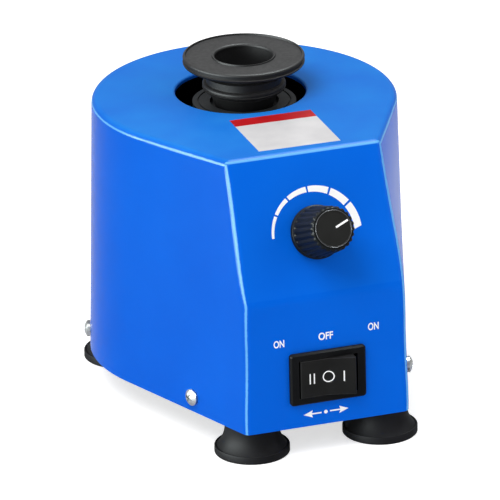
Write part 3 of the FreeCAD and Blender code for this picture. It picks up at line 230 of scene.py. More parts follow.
def painted_highlight_ridges(tree):
    """1 along the cover's rounded outer edges, round the top and down the two front corners, where the
    highlight is painted.
    """
    place, facing, outward = cover_faces(tree)
    on_wall = sum_of(tree, facing["Y"], wall_facing, "GREATER_THAN")
    on_front = sum_of(tree, facing["Y"], front_facing, "LESS_THAN")
    round_top = sum_of(tree, both(tree, between(tree, facing["Z"], *wall_highlight_band), on_wall),
                       both(tree, between(tree, facing["Z"], *front_highlight_band), on_front), "MAXIMUM")
    upper = both(tree, round_top, sum_of(tree, outward, 0.0, "GREATER_THAN"))
    sideways = add_node(tree, "ShaderNodeMath", {0: facing["X"]}, operation="ABSOLUTE").outputs[0]
    upright = both(tree, sum_of(tree, facing["Z"], corner_tilt, "LESS_THAN"),
                   sum_of(tree, place["Y"], arc_middle_y, "LESS_THAN"))
    corner = both(tree, between(tree, sideways, *corner_highlight_band), upright)
    return sum_of(tree, upper, corner, "MAXIMUM")


def painted_inner_shade(tree):
    """1 on the cover's inner faces, and those turned downwards, which are painted near black as the shade
    inside the cover.
    """
    place, facing, outward = cover_faces(tree)
    inner = both(tree, sum_of(tree, outward, 0.0, "LESS_THAN"),
                 sum_of(tree, place["Z"], cover_high.z - painted_rim, "LESS_THAN"))
    under = both(tree, sum_of(tree, facing["Z"], -0.5, "LESS_THAN"),
                 sum_of(tree, place["Z"], cover_low.z + painted_rim, "GREATER_THAN"))
    return sum_of(tree, inner, under, "MAXIMUM")


def blue_powder_coat():
    made, tree, shader = new_material("blue_powder_coat", {"Specular IOR Level": paint_gloss})
    grain = use_group(tree, grain_group, {"Grains per metre": peel_per_metre, "Drift per metre": 14.0})
    dust = use_group(tree, dust_and_top_light_group, {"Amount": top_sheen_amount, "Patches per metre": 30.0})["Mask"]
    body = two_tone(tree, grain["Tone"], paint_dark, paint_light)
    # Upward faces are painted lighter through the dust mask, a painted sheen from above.
    sheened = mixed(tree, dust, body, painted_top_sheen)
    # Painted highlight: a pale cyan line mixed in along the rounded edges.
    thin = mixed(tree, sum_of(tree, painted_highlight_ridges(tree), highlight_strength, "MULTIPLY"), sheened, painted_edge_highlight)
    # The inner faces are painted near black, a painted shade.
    tree.links.new(mixed(tree, painted_inner_shade(tree), thin, inner_shade_colour), shader.inputs["Base Color"])
    rough = ranged(tree, grain["Tone"], paint_roughness - 0.03, paint_roughness + 0.05)
    tree.links.new(sum_of(tree, rough, dust), shader.inputs["Roughness"])
    bump(tree, shader, grain["Height"], peel_depth)
    return made


def dress(material, *names):
    """Gives CAD nodes their finish."""
    for name in names:
        mesh = frame["nodes"][name].data
        mesh.materials.clear()
        mesh.materials.append(material)


dress(blue_powder_coat(), "cover")

# Sticker. A printed vinyl label, silver-white with a red band along its far side, pressed on by hand
# a little askew on the flat top, between the opening and the front edge.
sticker_width = 35.3 * mm
sticker_depth = 37.5 * mm
sticker_thickness = 0.09 * mm
sticker_band = 7.6 * mm
sticker_x = 0.75 * mm
sticker_behind_edge = 23.45 * mm
sticker_turn = math.radians(-1.2)
top_front_reach = 70.4 * mm
top_edge_y = arc_middle_y - top_front_reach
plate_sink = 0.01 * mm
silver_film = ((214, 212, 214), (226, 224, 225))
red_film = ((184, 10, 20), (208, 18, 28))


def new_piece(name, shape, material, body):
    """Turns a bmesh into a piece that rides on a body, with the finish or finishes given."""
    bmesh.ops.recalc_face_normals(shape, faces=shape.faces)
    mesh = bpy.data.meshes.new(name)
    shape.to_mesh(mesh)
    shape.free()
    piece = bpy.data.objects.new(name, mesh)
    bpy.context.scene.collection.objects.link(piece)
    for each in material if isinstance(material, (list, tuple)) else [material]:
        mesh.materials.append(each)
    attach(piece, body)
    return piece


def printed_plate(shape, outline, place, thickness, surface=0):
    """Adds a thin closed plate with the given outline (x, y), lying on a placed plane."""
    low = [shape.verts.new(place @ Vector((x, y, -plate_sink))) for x, y in outline]
    high = [shape.verts.new(place @ Vector((x, y, thickness))) for x, y in outline]
    faces = [shape.faces.new(high), shape.faces.new(low[::-1])]
    for i in range(len(outline)):
        j = (i + 1) % len(outline)
        faces.append(shape.faces.new([low[i], low[j], high[j], high[i]]))
    for face in faces:
        face.material_index = surface


def sticker_film(name, dark, light, flake):
    made, tree, shader = new_material(name, {"Specular IOR Level": 0.12})
    grain = use_group(tree, grain_group, {"Grains per metre": 2400.0, "Drift per metre": 60.0})
    film = two_tone(tree, grain["Tone"], dark, light, 0.35, 0.65)
    tree.links.new(film, shader.inputs["Base Color"])
    tree.links.new(ranged(tree, grain["Height"], 0.0, flake, 0.4, 0.9), shader.inputs["Metallic"])
    tree.links.new(ranged(tree, grain["Tone"], 0.3, 0.42), shader.inputs["Roughness"])
    bump(tree, shader, grain["Height"], 0.006 * mm)
    return made


sticker_place = (Matrix.Translation((sticker_x, top_edge_y + sticker_behind_edge, cover_high.z))
                 @ Matrix.Rotation(sticker_turn, 4, "Z"))
half_w = sticker_width / 2
half_d = sticker_depth / 2
band_y = half_d - sticker_band
shape = bmesh.new()
printed_plate(shape, [(-half_w, -half_d), (half_w, -half_d), (half_w, band_y), (-half_w, band_y)],
              sticker_place, sticker_thickness, 0)
printed_plate(shape, [(-half_w, band_y), (half_w, band_y), (half_w, half_d), (-half_w, half_d)],
              sticker_place, sticker_thickness, 1)
new_piece("top_sticker", shape, [sticker_film("silver_film", *silver_film, 0.25),
                                 sticker_film("red_band", *red_film, 0.0)], "root")

# Speed scale. Six white strokes, screen printed on the slope round the knob in a widening arc:
# thin at the slow end on the left and broad at the fast end on the right.
scale_x = 0.55 * mm
scale_y = -0.3 * mm
scale_outer = 19.45 * mm
scale_strokes = [(-89.5, -61.6, 1.0, 1.35), (-59.2, -35.6, 1.4, 1.75), (-33.0, -5.9, 1.85, 2.35),
                 (-3.4, 24.0, 2.4, 2.85), (27.0, 53.8, 2.95, 3.2), (56.9, 88.5, 3.2, 3.2)]
scale_end_slant = 4.0
degrees_per_step = 2.5
print_thickness = 0.05 * mm
ink_dull = (250, 250, 252)
ink_bright = (255, 255, 254)
knob_joint = joints["knob_turn"]
slope_out = -Vector(knob_joint["axis"])
slope_up = slope_out.cross(Vector((1, 0, 0)))


def white_ink():
    made, tree, shader = new_material("white_ink", {"Specular IOR Level": 0.4})
    grain = use_group(tree, grain_group, {"Grains per metre": 3200.0, "Drift per metre": 120.0})
    tree.links.new(two_tone(tree, grain["Tone"], ink_dull, ink_bright), shader.inputs["Base Color"])
    tree.links.new(ranged(tree, grain["Tone"], 0.42, 0.55), shader.inputs["Roughness"])
    bump(tree, shader, grain["Height"], 0.006 * mm)
    return made


def on_plane(origin, up, out):
    """Turns x, y, z into right, up and out of a flat of the cover's front, from an origin on it."""
    return Matrix.Translation(origin) @ Matrix(((1, up.x, out.x, 0), (0, up.y, out.y, 0),
                                                (0, up.z, out.z, 0), (0, 0, 0, 1)))


ink = white_ink()
slope_place = on_plane(knob_joint["pos_m"], slope_up, slope_out)


def on_scale(radius, degrees):
    """A point of the slope at a radius and an angle clockwise from 12 o'clock."""
    turn = math.radians(degrees)
    return (scale_x + radius * math.sin(turn), scale_y + radius * math.cos(turn))


shape = bmesh.new()
for start, end, thin, broad in scale_strokes:
    steps = max(4, round((end - start) / degrees_per_step))
    slant = scale_end_slant if end == scale_strokes[-1][1] else 0.0
    outer = [on_scale(scale_outer, start + (end - start) * i / steps) for i in range(steps + 1)]
    inner = []
    for i in range(steps, -1, -1):
        width = (thin + (broad - thin) * i / steps) * mm
        inner.append(on_scale(scale_outer - width, start + (end + slant - start) * i / steps))
    printed_plate(shape, inner + outer, slope_place, print_thickness)
new_piece("speed_scale_print", shape, ink, "root")

# Switch lettering. Plain ON, OFF and ON in a narrow sans, and an arrow each way from a dot,
# printed in the same white ink above and below the rocker switch on the upright panel.
rocker_joint = joints["rocker_tilt"]
panel_up = Vector(rocker_joint["axis"])
panel_out = Vector((1, 0, 0)).cross(panel_up)
pivot_depth = 0.8 * mm
panel_origin = Vector(rocker_joint["pos_m"]) + panel_out * pivot_depth
panel_place = on_plane(panel_origin, panel_up, panel_out)
letter_height = 3.2 * mm
words = [("left_on", "ON", -20.6, 16.4, 4.6), ("off", "OFF", -0.2, 17.05, 6.3),
         ("right_on", "ON", 20.6, 18.1, 4.65)]
letter_boldness = 0.02
arrow_y = -16.2 * mm
arrow_half_line = 0.29 * mm
arrow_half_head = 1.55 * mm
arrow_head = 3.5 * mm
arrow_barb = 0.45 * mm
arrow_dot = 0.78 * mm
arrow_dot_x = -0.85 * mm
arrows = [(-10.5, -2.7, -0.1), (9.0, 1.0, 0.1)]


def lettering(name, word, x, y, width, height, place, thickness):
    """A printed word as a thin solid, set out to an exact width and height about x, y."""
    curve = bpy.data.curves.new(name, "FONT")
    curve.body = word
    curve.offset = letter_boldness
    curve.extrude = 1.0
    curve.resolution_u = 6
    text = bpy.data.objects.new(name, curve)
    bpy.context.scene.collection.objects.link(text)
    bpy.context.view_layer.update()
    mesh = bpy.data.meshes.new_from_object(text.evaluated_get(bpy.context.evaluated_depsgraph_get()))
    bpy.data.objects.remove(text)
    xs = [v.co.x for v in mesh.vertices]
    ys = [v.co.y for v in mesh.vertices]
    wide = width / (max(xs) - min(xs))
    high = height / (max(ys) - min(ys))
    fit = (Matrix.Translation((x, y, thickness / 2)) @ Matrix.Diagonal((wide, high, thickness / 2, 1))
           @ Matrix.Translation((-(max(xs) + min(xs)) / 2, -(max(ys) + min(ys)) / 2, 0)))
    mesh.transform(place @ fit)
    shape = bmesh.new()
    shape.from_mesh(mesh)
    bmesh.ops.remove_doubles(shape, verts=shape.verts, dist=1e-7)
    return shape


for name, word, x, y, width in words:
    shape = lettering(name, word, x * mm, y * mm, width * mm, letter_height, panel_place, print_thickness)
    new_piece("print_" + name, shape, ink, "root")

shape = bmesh.new()
for tip, tail, rise in arrows:
    tip *= mm
    tail *= mm
    way = math.copysign(1.0, tip)
    neck = tip - way * arrow_head
    barb = tip - way * (arrow_head + arrow_barb)
    y = arrow_y + rise * mm
    outline = [(tip, y), (barb, y + arrow_half_head), (neck, y + arrow_half_line),
               (tail, y + arrow_half_line), (tail, y - arrow_half_line), (neck, y - arrow_half_line),
               (barb, y - arrow_half_head)]
    printed_plate(shape, outline, panel_place, print_thickness)
dot = []
for degrees in range(0, 360, 15):
    turn = math.radians(degrees)
    dot.append((arrow_dot_x + arrow_dot * math.cos(turn), arrow_y + arrow_dot * math.sin(turn)))
printed_plate(shape, dot, panel_place, print_thickness)
new_piece("print_arrows", shape, ink, "root")

# Screws. Pan-head machine screws with a cross recess, cold headed, bright zinc plated, driven into
# the tray's edge. The same finish is on the nuts, bolts and studs inside.
zinc_light = (205, 206, 204)
zinc_dark = (150, 152, 152)


def rolled_marks():
    """Long fine marks from rolling or drawing, and cloudy tone."""
    group, takes, gives = new_group("rolled_marks", {"Marks per metre": 1800.0, "Length": 0.04},
                                    ["Height", "Tone"])
    place = add_node(group, "ShaderNodeTexCoord").outputs["Object"]
    across = takes.outputs["Marks per metre"]
    along = sum_of(group, across, takes.outputs["Length"], "MULTIPLY")
    thin = add_node(group, "ShaderNodeCombineXYZ", {"X": across, "Y": along, "Z": across}).outputs[0]
    drawn = add_node(group, "ShaderNodeVectorMath", {0: place, 1: thin}, operation="MULTIPLY").outputs[0]
    marks = add_node(group, "ShaderNodeTexNoise", {"Vector": drawn, "Scale": 1.0, "Detail": 2.0})
    cloud = add_node(group, "ShaderNodeTexNoise", {"Vector": place, "Scale": 180.0, "Detail": 4.0})
    group.links.new(marks.outputs["Fac"], gives.inputs["Height"])
    group.links.new(cloud.outputs["Fac"], gives.inputs["Tone"])
    return group


marks_group = rolled_marks()


def metal(name, light, dark, low_rough, high_rough, marks, depth, length=0.04):
    """A bare or plated metal: cloudy tone and drawn marks."""
    made, tree, shader = new_material(name, {"Metallic": 1.0})
    drawn = use_group(tree, marks_group, {"Marks per metre": marks, "Length": length})
    tree.links.new(two_tone(tree, drawn["Tone"], dark, light), shader.inputs["Base Color"])
    tree.links.new(ranged(tree, drawn["Tone"], high_rough, low_rough), shader.inputs["Roughness"])
    bump(tree, shader, drawn["Height"], depth)
    return made


dress(metal("bright_zinc", zinc_light, zinc_dark, 0.2, 0.36, 900.0, 0.004 * mm, 1.0),
      "cover_screws", "foot_screws", "foot_nuts", "motor_through_bolts", "motor_mount_screws",
      "board_screws", "potentiometer_nut")

# Base tray and brackets. Pressed from zinc-plated sheet, with an upturned edge for the side screws
# and five slots that let the fan draw air in from below.
dress(metal("zinc_sheet", (190, 192, 190), (142, 145, 147), 0.3, 0.48, 1300.0, 0.006 * mm),
      "base_tray", "touch_switch_bracket", "motor_posts", "speed_potentiometer", "potentiometer_shaft")

# Feet. Four moulded rubber bells, each held by a screw up its middle. Matt black, slightly greyed
# by dust on the shoulders, with a smooth band where the rim meets the bench. Its section, like
# those of the cup and the knob, is given as radius and height in millimetres.
foot_dark = (17, 17, 19)
foot_light = (27, 27, 30)
foot_dust = (92, 92, 96)
foot_rim = 15.6
foot_shoulder = foot_rim - 1.0
foot_neck = 11.2
foot_lip = 3.35
foot_dish = 3.1
foot_flare = 2.6
flare_steps = 24
foot_socket = 4.0
foot_socket_top = 6.0
foot_bore = 2.05
foot_hollow = 2.4
foot_underside = [(foot_socket, foot_hollow), (9.2, 2.1), (12.4, 1.2)]
foot_band = [(foot_rim - 1.2, 0.0), (foot_rim - 0.4, 0.0), (foot_rim, 0.4), (foot_rim, foot_lip - 0.35),
             (foot_rim - 0.2, foot_lip), (foot_rim - 0.6, foot_lip)]


def thin_edges():
    """Where an outside edge turns: 1 on the edge, 0 on the faces beside it."""
    group, takes, gives = new_group("thin_edges", {"Radius": 0.001, "Strength": 5.0}, ["Mask"])
    rounded = add_node(group, "ShaderNodeBevel", {"Radius": takes.outputs["Radius"]}, samples=6)
    face = add_node(group, "ShaderNodeNewGeometry")
    same = add_node(group, "ShaderNodeVectorMath",
                    {0: rounded.outputs["Normal"], 1: face.outputs["Normal"]},
                    operation="DOT_PRODUCT").outputs["Value"]
    turn = sum_of(group, 1.0, same, "SUBTRACT")
    mask = add_node(group, "ShaderNodeMath", {0: turn, 1: takes.outputs["Strength"]},
                    operation="MULTIPLY", use_clamp=True).outputs[0]
    group.links.new(mask, gives.inputs["Mask"])
    return group


edge_group = thin_edges()


def moulded_rubber(name, dark, light, top_dust_and_light, dust_and_top_light_colour, grains, depth, rough, patches=160.0,
                   specular=0.07):
    """Matt rubber: moulded grain, drifting tone, rubbed edges, and a lighter mix on what faces up, for dust
    and, where it is strong, painted light from above.
    """
    made, tree, shader = new_material(name, {"Specular IOR Level": specular})
    grain = use_group(tree, grain_group, {"Grains per metre": grains, "Drift per metre": 70.0})
    dust = use_group(tree, dust_and_top_light_group, {"Amount": top_dust_and_light, "Patches per metre": patches})["Mask"]
    edge = use_group(tree, edge_group, {"Radius": 0.4 * mm, "Strength": 2.0})["Mask"]
    body = two_tone(tree, grain["Tone"], dark, light)
    worn = mixed(tree, sum_of(tree, edge, 0.1, "MULTIPLY"), body, dust_and_top_light_colour)
    tree.links.new(mixed(tree, dust, worn, dust_and_top_light_colour), shader.inputs["Base Color"])
    tree.links.new(ranged(tree, grain["Tone"], rough, rough + 0.14), shader.inputs["Roughness"])
    bump(tree, shader, grain["Height"], depth)
    return made


def turned_shape(shape, profile, place, steps=96):
    """Adds a closed body of revolution: a section (radius, height) turned about a placed axis."""
    rings = []
    for radius, height in profile:
        if radius == 0.0:
            rings.append([shape.verts.new(place @ Vector((0, 0, height)))] * steps)
            continue
        turns = [2 * math.pi * i / steps for i in range(steps)]
        rings.append([shape.verts.new(place @ Vector((radius * math.cos(t), radius * math.sin(t), height)))
                      for t in turns])
    for low, high in zip(rings, rings[1:] + rings[:1]):
        if low[0] is low[1] and high[0] is high[1]:
            continue
        for i in range(steps):
            j = (i + 1) % steps
            corners = [low[i], low[j], high[j], high[i]]
            shape.faces.new(list(dict.fromkeys(corners)))


def smooth(piece):
    """Shades every face of a piece smooth."""
    for face in piece.data.polygons:
        face.use_smooth = True


def soften(piece, degrees):
    """Shades a piece smooth, but for edges sharper than an angle."""
    smooth(piece)
    piece.data.set_sharp_from_angle(angle=math.radians(degrees))


foot_rubber = moulded_rubber("foot_rubber", foot_dark, foot_light, 0.04, foot_dust, 1500.0, 0.02 * mm, 0.5)
for corner in ("front_left", "front_right", "rear_left", "rear_right"):
    low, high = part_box("foot_" + corner)
    top = (high.z - low.z) / mm
    profile = foot_underside + foot_band
    for i in range(flare_steps + 1):
        rise = i / flare_steps
        profile.append((foot_neck + (foot_shoulder - foot_neck) * (1 - rise) ** foot_flare,
                        foot_dish + (top - foot_dish) * rise))
    profile += [(foot_bore, top), (foot_bore, foot_socket_top), (foot_socket, foot_socket_top)]
    shape = bmesh.new()
    middle = Matrix.Translation(((low.x + high.x) / 2, (low.y + high.y) / 2, low.z))
    turned_shape(shape, [(r * mm, z * mm) for r, z in profile], middle)
    piece = new_piece("bell_foot_" + corner, shape, foot_rubber, "root")
    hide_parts("foot_" + corner)
    soften(piece, 32)

# Mixing cup. Moulded in one piece from matt black rubber: a wide flange to press on, a neck with a
# bead, and a well for the tube's round end. The flange's top is painted lighter grey, a painted light
# from above, and speckled with dust.
cup_dark = (18, 18, 19)
cup_light = (28, 28, 29)
cup_top_light_and_dust = (96, 95, 96)
cup_steps = 128
cup_section = [
    (5.0, 0.0, 0.0), (12.2, 0.0, 0.4), (14.3, 6.4, 0.4), (15.75, 8.1, 0.3), (16.75, 8.35, 0.35),
    (16.75, 9.9, 0.35), (15.55, 10.1, 0.12), (15.8, 10.5, 0.2), (15.6, 14.5, 3.0), (15.9, 19.3, 0.8),
    (24.6, 19.3, 0.2), (24.6, 21.6, 0.22), (12.7, 21.6, 0.4), (12.65, 9.6, 1.4), (6.0, 7.9, 3.0),
    (0.0, 7.9, 0.0), (0.0, 6.0, 0.0), (5.0, 6.0, 0.0)]


def rounded_section(corners, bends=4, hold=0.2):
    """Section with its corners (radius, height, rounding) as arcs, each held by a point beside it."""
    points = []
    for i, (x, y, rounding) in enumerate(corners):
        here = Vector((x, y))
        if rounding == 0.0:
            points.append((x, y))
            continue
        before = Vector(corners[i - 1][:2]) - here
        after = Vector(corners[(i + 1) % len(corners)][:2]) - here
        half_angle = before.angle(after) / 2
        tangent = rounding / math.tan(half_angle)
        inward = (before.normalized() + after.normalized()).normalized()
        middle = here + inward * rounding / math.sin(half_angle)
        start = here + before.normalized() * tangent - middle
        end = here + after.normalized() * tangent - middle
        points.append(tuple(middle + start + before.normalized() * min(hold, (before.length - tangent) / 3)))
        for j in range(bends + 1):
            points.append(tuple(middle + start.slerp(end, j / bends)))
        points.append(tuple(middle + end + after.normalized() * min(hold, (after.length - tangent) / 3)))
    return points


low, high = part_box("mixing_cup")
shape = bmesh.new()
turned_shape(shape, [(r * mm, z * mm) for r, z in rounded_section(cup_section)],
             Matrix.Translation(((low.x + high.x) / 2, (low.y + high.y) / 2, low.z)), cup_steps)
# The strong upward mix paints the flange top grey, as light from above, together with dust.
cup_rubber = moulded_rubber("cup_rubber", cup_dark, cup_light, 0.5, cup_top_light_and_dust, 2600.0, 0.03 * mm, 0.44,
                            patches=620.0, specular=0.13)
cup = new_piece("rubber_cup", shape, cup_rubber, "head")
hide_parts("mixing_cup")
soften(cup, 30)
dress(moulded_rubber("grommet_rubber", (24, 24, 25), (36, 36, 37), 0.2, (90, 90, 90), 1800.0,
                     0.02 * mm, 0.55), "motor_grommets")

# Head. A turned acetal housing, mid grey, with a stepped disc on top that closes the opening. It holds
# the ball bearing that rides on the eccentric pin, so the head orbits without turning.
head_axis = Vector(joints["head_orbit"]["pos_m"])
disc_light = (46, 50, 51)
disc_dark = (34, 37, 39)
disc_dust = (128, 131, 136)


def turned_rings():
    """Fine rings about an upright axis, as a lathe tool leaves them."""
    group, takes, gives = new_group("turned_rings", {"Axis X": 0.0, "Axis Y": 0.0, "Rings per metre": 4200.0},
                                    ["Height"])
    place = add_node(group, "ShaderNodeTexCoord").outputs["Object"]
    split = add_node(group, "ShaderNodeSeparateXYZ", {0: place}).outputs
    x = sum_of(group, split["X"], takes.outputs["Axis X"], "SUBTRACT")
    y = sum_of(group, split["Y"], takes.outputs["Axis Y"], "SUBTRACT")
    flat = add_node(group, "ShaderNodeCombineXYZ", {"X": x, "Y": y}).outputs[0]
    reach = add_node(group, "ShaderNodeVectorMath", {0: flat}, operation="LENGTH").outputs["Value"]
    wobble = add_node(group, "ShaderNodeTexNoise", {"Vector": place, "Scale": 60.0}).outputs["Fac"]
    phase = sum_of(group, sum_of(group, reach, takes.outputs["Rings per metre"], "MULTIPLY"), wobble)
    wave = add_node(group, "ShaderNodeMath", {0: sum_of(group, phase, 2 * math.pi, "MULTIPLY")},
                    operation="SINE").outputs[0]
    group.links.new(sum_of(group, sum_of(group, wave, 0.5, "MULTIPLY"), 0.5), gives.inputs["Height"])
    return group


rings_group = turned_rings()


def rings_about(tree, axis, rings_per_metre):
    """Height of the rings that a lathe left about an upright axis."""
    return use_group(tree, rings_group, {"Axis X": axis.x, "Axis Y": axis.y,
                                         "Rings per metre": rings_per_metre})["Height"]


def turned_plastic(name, dark, light, axis):
    made, tree, shader = new_material(name, {"Specular IOR Level": 0.12})
    grain = use_group(tree, grain_group, {"Grains per metre": 1600.0, "Drift per metre": 120.0})
    dust = use_group(tree, dust_and_top_light_group, {"Amount": 0.08, "Patches per metre": 200.0})["Mask"]
    rings = rings_about(tree, axis, 2600.0)
    body = two_tone(tree, grain["Tone"], dark, light)
    tree.links.new(mixed(tree, dust, body, disc_dust), shader.inputs["Base Color"])
    tree.links.new(ranged(tree, rings, 0.4, 0.5), shader.inputs["Roughness"])
    bump(tree, shader, rings, 0.006 * mm)
    return made


dress(turned_plastic("head_grey", disc_dark, disc_light, head_axis), "head_housing")

# Bearing and drive. Ground bearing steel for the rings, balls, shaft and hub, tempered spring steel
# for the circlips, springs and lever, and a brass counterweight across from the pin.


def turned_steel(name, dark, light, axis, rough):
    made, tree, shader = new_material(name, {"Metallic": 1.0})
    grain = use_group(tree, grain_group, {"Grains per metre": 1200.0, "Drift per metre": 150.0})
    rings = rings_about(tree, axis, 3600.0)
    tree.links.new(two_tone(tree, grain["Tone"], dark, light), shader.inputs["Base Color"])
    tree.links.new(ranged(tree, rings, rough, rough + 0.1), shader.inputs["Roughness"])
    bump(tree, shader, rings, 0.003 * mm)
    return made


dress(turned_steel("ground_steel", (150, 152, 156), (186, 188, 190), motor_axis, 0.2),
      "motor_shaft", "eccentric_hub", "thrust_ball")
dress(turned_steel("bearing_steel", (158, 160, 164), (196, 198, 200), head_axis, 0.14),
      "bearing_inner_race", "bearing_outer_race", "bearing_balls")
dress(metal("spring_steel", (140, 141, 146), (96, 97, 104), 0.28, 0.42, 1500.0, 0.003 * mm, 0.2),
      "return_spring", "touch_switch_lever", "pin_circlip", "housing_circlip")
dress(metal("black_oxide", (56, 56, 60), (30, 30, 33), 0.42, 0.55, 1500.0, 0.004 * mm), "hub_set_screws")
dress(turned_steel("weight_brass", (168, 138, 72), (198, 168, 98), motor_axis, 0.28), "counterweight")

# Motor. Varnished laminations, a taped copper coil on a nylon bobbin, cast alloy brackets and
# oil-filled bronze sleeves. All of it is closed in by the cover and the tray.
sheet_thickness = 0.5 * mm
sheet_joint = (52, 46, 44)
sheet_edge = (108, 104, 102)
sheet_varnish = (92, 60, 40)
plastic_dust = (150, 150, 152)


def stacked_sheets():
    """Varnished steel sheets seen edge on, one dark joint at each sheet."""
    made, tree, shader = new_material("laminations", {"Metallic": 0.7})
    place = add_node(tree, "ShaderNodeTexCoord").outputs["Object"]
    split = add_node(tree, "ShaderNodeSeparateXYZ", {0: place}).outputs
    phase = sum_of(tree, split["Z"], 2 * math.pi / sheet_thickness, "MULTIPLY")
    wave = add_node(tree, "ShaderNodeMath", {0: phase}, operation="SINE").outputs[0]
    grain = use_group(tree, grain_group, {"Grains per metre": 1500.0, "Drift per metre": 90.0})
    joint = ranged(tree, wave, 0.0, 1.0, -1.0, 1.0)
    sheet = mixed(tree, joint, sheet_joint, sheet_edge)
    stained = mixed(tree, ranged(tree, grain["Tone"], 0.0, 0.4, 0.4, 0.7), sheet, sheet_varnish)
    tree.links.new(stained, shader.inputs["Base Color"])
    tree.links.new(ranged(tree, grain["Tone"], 0.35, 0.5), shader.inputs["Roughness"])
    bump(tree, shader, joint, 0.03 * mm)
    return made


def moulded_plastic(name, dark, light, grains, depth, rough, edge_light=(120, 120, 122), edge=0.3,
                    specular=0.1):
    """Injection-moulded plastic: spark-eroded grain, drifting tone and lighter worn edges."""
    made, tree, shader = new_material(name, {"Specular IOR Level": specular})
    grain = use_group(tree, grain_group, {"Grains per metre": grains, "Drift per metre": 80.0})
    dust = use_group(tree, dust_and_top_light_group, {"Amount": 0.05, "Patches per metre": 200.0})["Mask"]
    rub = use_group(tree, edge_group, {"Radius": 0.3 * mm, "Strength": 3.0})["Mask"]
    body = two_tone(tree, grain["Tone"], dark, light)
    worn = mixed(tree, sum_of(tree, rub, edge, "MULTIPLY"), body, edge_light)
    tree.links.new(mixed(tree, dust, worn, plastic_dust), shader.inputs["Base Color"])
    tree.links.new(ranged(tree, grain["Tone"], rough, rough + 0.1), shader.inputs["Roughness"])
    bump(tree, shader, grain["Height"], depth)
    return made


dress(stacked_sheets(), "stator_stack", "rotor")
dress(metal("cast_alloy", (176, 178, 180), (140, 142, 146), 0.42, 0.6, 700.0, 0.02 * mm, 1.0),
      "lower_motor_bracket", "upper_motor_bracket", "heat_sink")
dress(metal("oiled_bronze", (150, 112, 66), (112, 82, 48), 0.35, 0.5, 1600.0, 0.006 * mm, 1.0),
      "lower_sleeve_bearing", "upper_sleeve_bearing")
dress(moulded_plastic("winding_tape", (186, 146, 44), (208, 170, 62), 500.0, 0.03 * mm, 0.35), "coil_winding")
dress(moulded_plastic("white_nylon", (206, 204, 194), (222, 221, 213), 900.0, 0.008 * mm, 0.4, edge=0.0),
      "coil_bobbin", "spring_guide", "thrust_plunger", "board_standoffs")
dress(moulded_plastic("fan_plastic", (34, 34, 37), (46, 46, 49), 1200.0, 0.01 * mm, 0.42), "cooling_fan")

# Touch switch. A small snap switch under the plunger's arm, with a red button that the lever presses.
dress(moulded_plastic("switch_case", (24, 24, 26), (34, 34, 36), 1500.0, 0.008 * mm, 0.4),
      "touch_switch_body")
dress(moulded_plastic("red_button", (150, 20, 18), (172, 30, 26), 1500.0, 0.006 * mm, 0.3),
      "touch_switch_pin")

# Speed knob. Moulded black, tapered, with fluted sides for the fingers and a smooth collar, pushed
# onto the flat of the shaft. A satin cap with a white pointer closes its face; a thin dull grey ring round
# the cap's rim is a painted highlight for its bevelled edge.
knob_flutes = 24
flute_depth = 0.62
flute_sharpness = 1.4
columns_per_flute = 10
knob_rows = [(7.6, 5.4, 0.0), (7.6, 0.8, 0.0), (10.9, 0.8, 0.0), (11.15, 1.05, 0.0), (11.15, 2.8, 0.0),
             (11.0, 3.1, 0.0), (10.75, 3.25, 0.0), (10.7, 4.1, 0.0), (10.66, 4.5, 0.55), (10.6, 5.0, 0.9),
             (10.5, 5.6, 1.0), (9.5, 21.7, 1.0), (9.4, 22.1, 0.9), (8.9, 22.7, 0.4), (8.5, 23.0, 0.0),
             (8.2, 23.05, 0.0), (7.95, 22.9, 0.0), (7.9, 22.2, 0.0)]
cap_radius = 7.85
cap_face = 23.3
cap_top = 23.45
cap_under = cap_face - 1.0
cap_section = [(0.0, cap_under), (cap_radius, cap_under), (cap_radius, cap_top - 0.2),
               (cap_radius - 0.2, cap_top), (cap_radius - 0.55, cap_top), (cap_radius - 0.7, cap_face),
               (0.0, cap_face)]
pointer_start = 1.15 * mm
pointer_end = 7.1 * mm
pointer_half = 0.42 * mm
pointer_lift = 0.02 * mm
pointer_turn = math.radians(67.0)
ring_radius = (cap_radius - 0.12) * mm
ring_width = 0.16 * mm
ring_lift = 0.04 * mm
ring_low = (cap_top - 0.1) * mm
ring_high = cap_top * mm + ring_lift
ring_shoulder = ring_high - 0.2 * (ring_high - ring_low)
ring_section = [(ring_radius - ring_width, ring_low), (ring_radius - ring_width, ring_shoulder),
                (ring_radius - ring_width / 2, ring_high), (ring_radius, ring_shoulder),
                (ring_radius, ring_low)]

shape = bmesh.new()
columns = knob_flutes * columns_per_flute
rows = []
for radius, height, depth in knob_rows:
    row = []
    for i in range(columns):
        turn = 2 * math.pi * i / columns
        cut = flute_depth * depth * (0.5 + 0.5 * math.cos(knob_flutes * turn)) ** flute_sharpness
        spot = Vector(((radius - cut) * math.cos(turn), (radius - cut) * math.sin(turn), height)) * mm
        row.append(shape.verts.new(slope_place @ spot))
    rows.append(row)
for low, high in zip(rows, rows[1:]):
    for i in range(columns):
        j = (i + 1) % columns
        shape.faces.new([low[i], low[j], high[j], high[i]])
shape.faces.new(rows[0][::-1])
shape.faces.new(rows[-1])
knob_plastic = moulded_plastic("knob_plastic", (14, 17, 19), (20, 24, 27), 1300.0, 0.008 * mm, 0.36,
                               edge_light=(96, 98, 104), edge=0.08, specular=0.07)
piece = new_piece("fluted_knob", shape, knob_plastic, "knob")
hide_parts("speed_knob")
soften(piece, 28)

shape = bmesh.new()
turned_shape(shape, [(r * mm, z * mm) for r, z in cap_section], slope_place)
cap_plastic = moulded_plastic("cap_face", (22, 22, 21), (28, 28, 27), 2200.0, 0.01 * mm, 0.5,
                              edge=0.1, specular=0.07)
piece = new_piece("knob_face", shape, cap_plastic, "knob")
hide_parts("knob_cap")
soften(piece, 25)

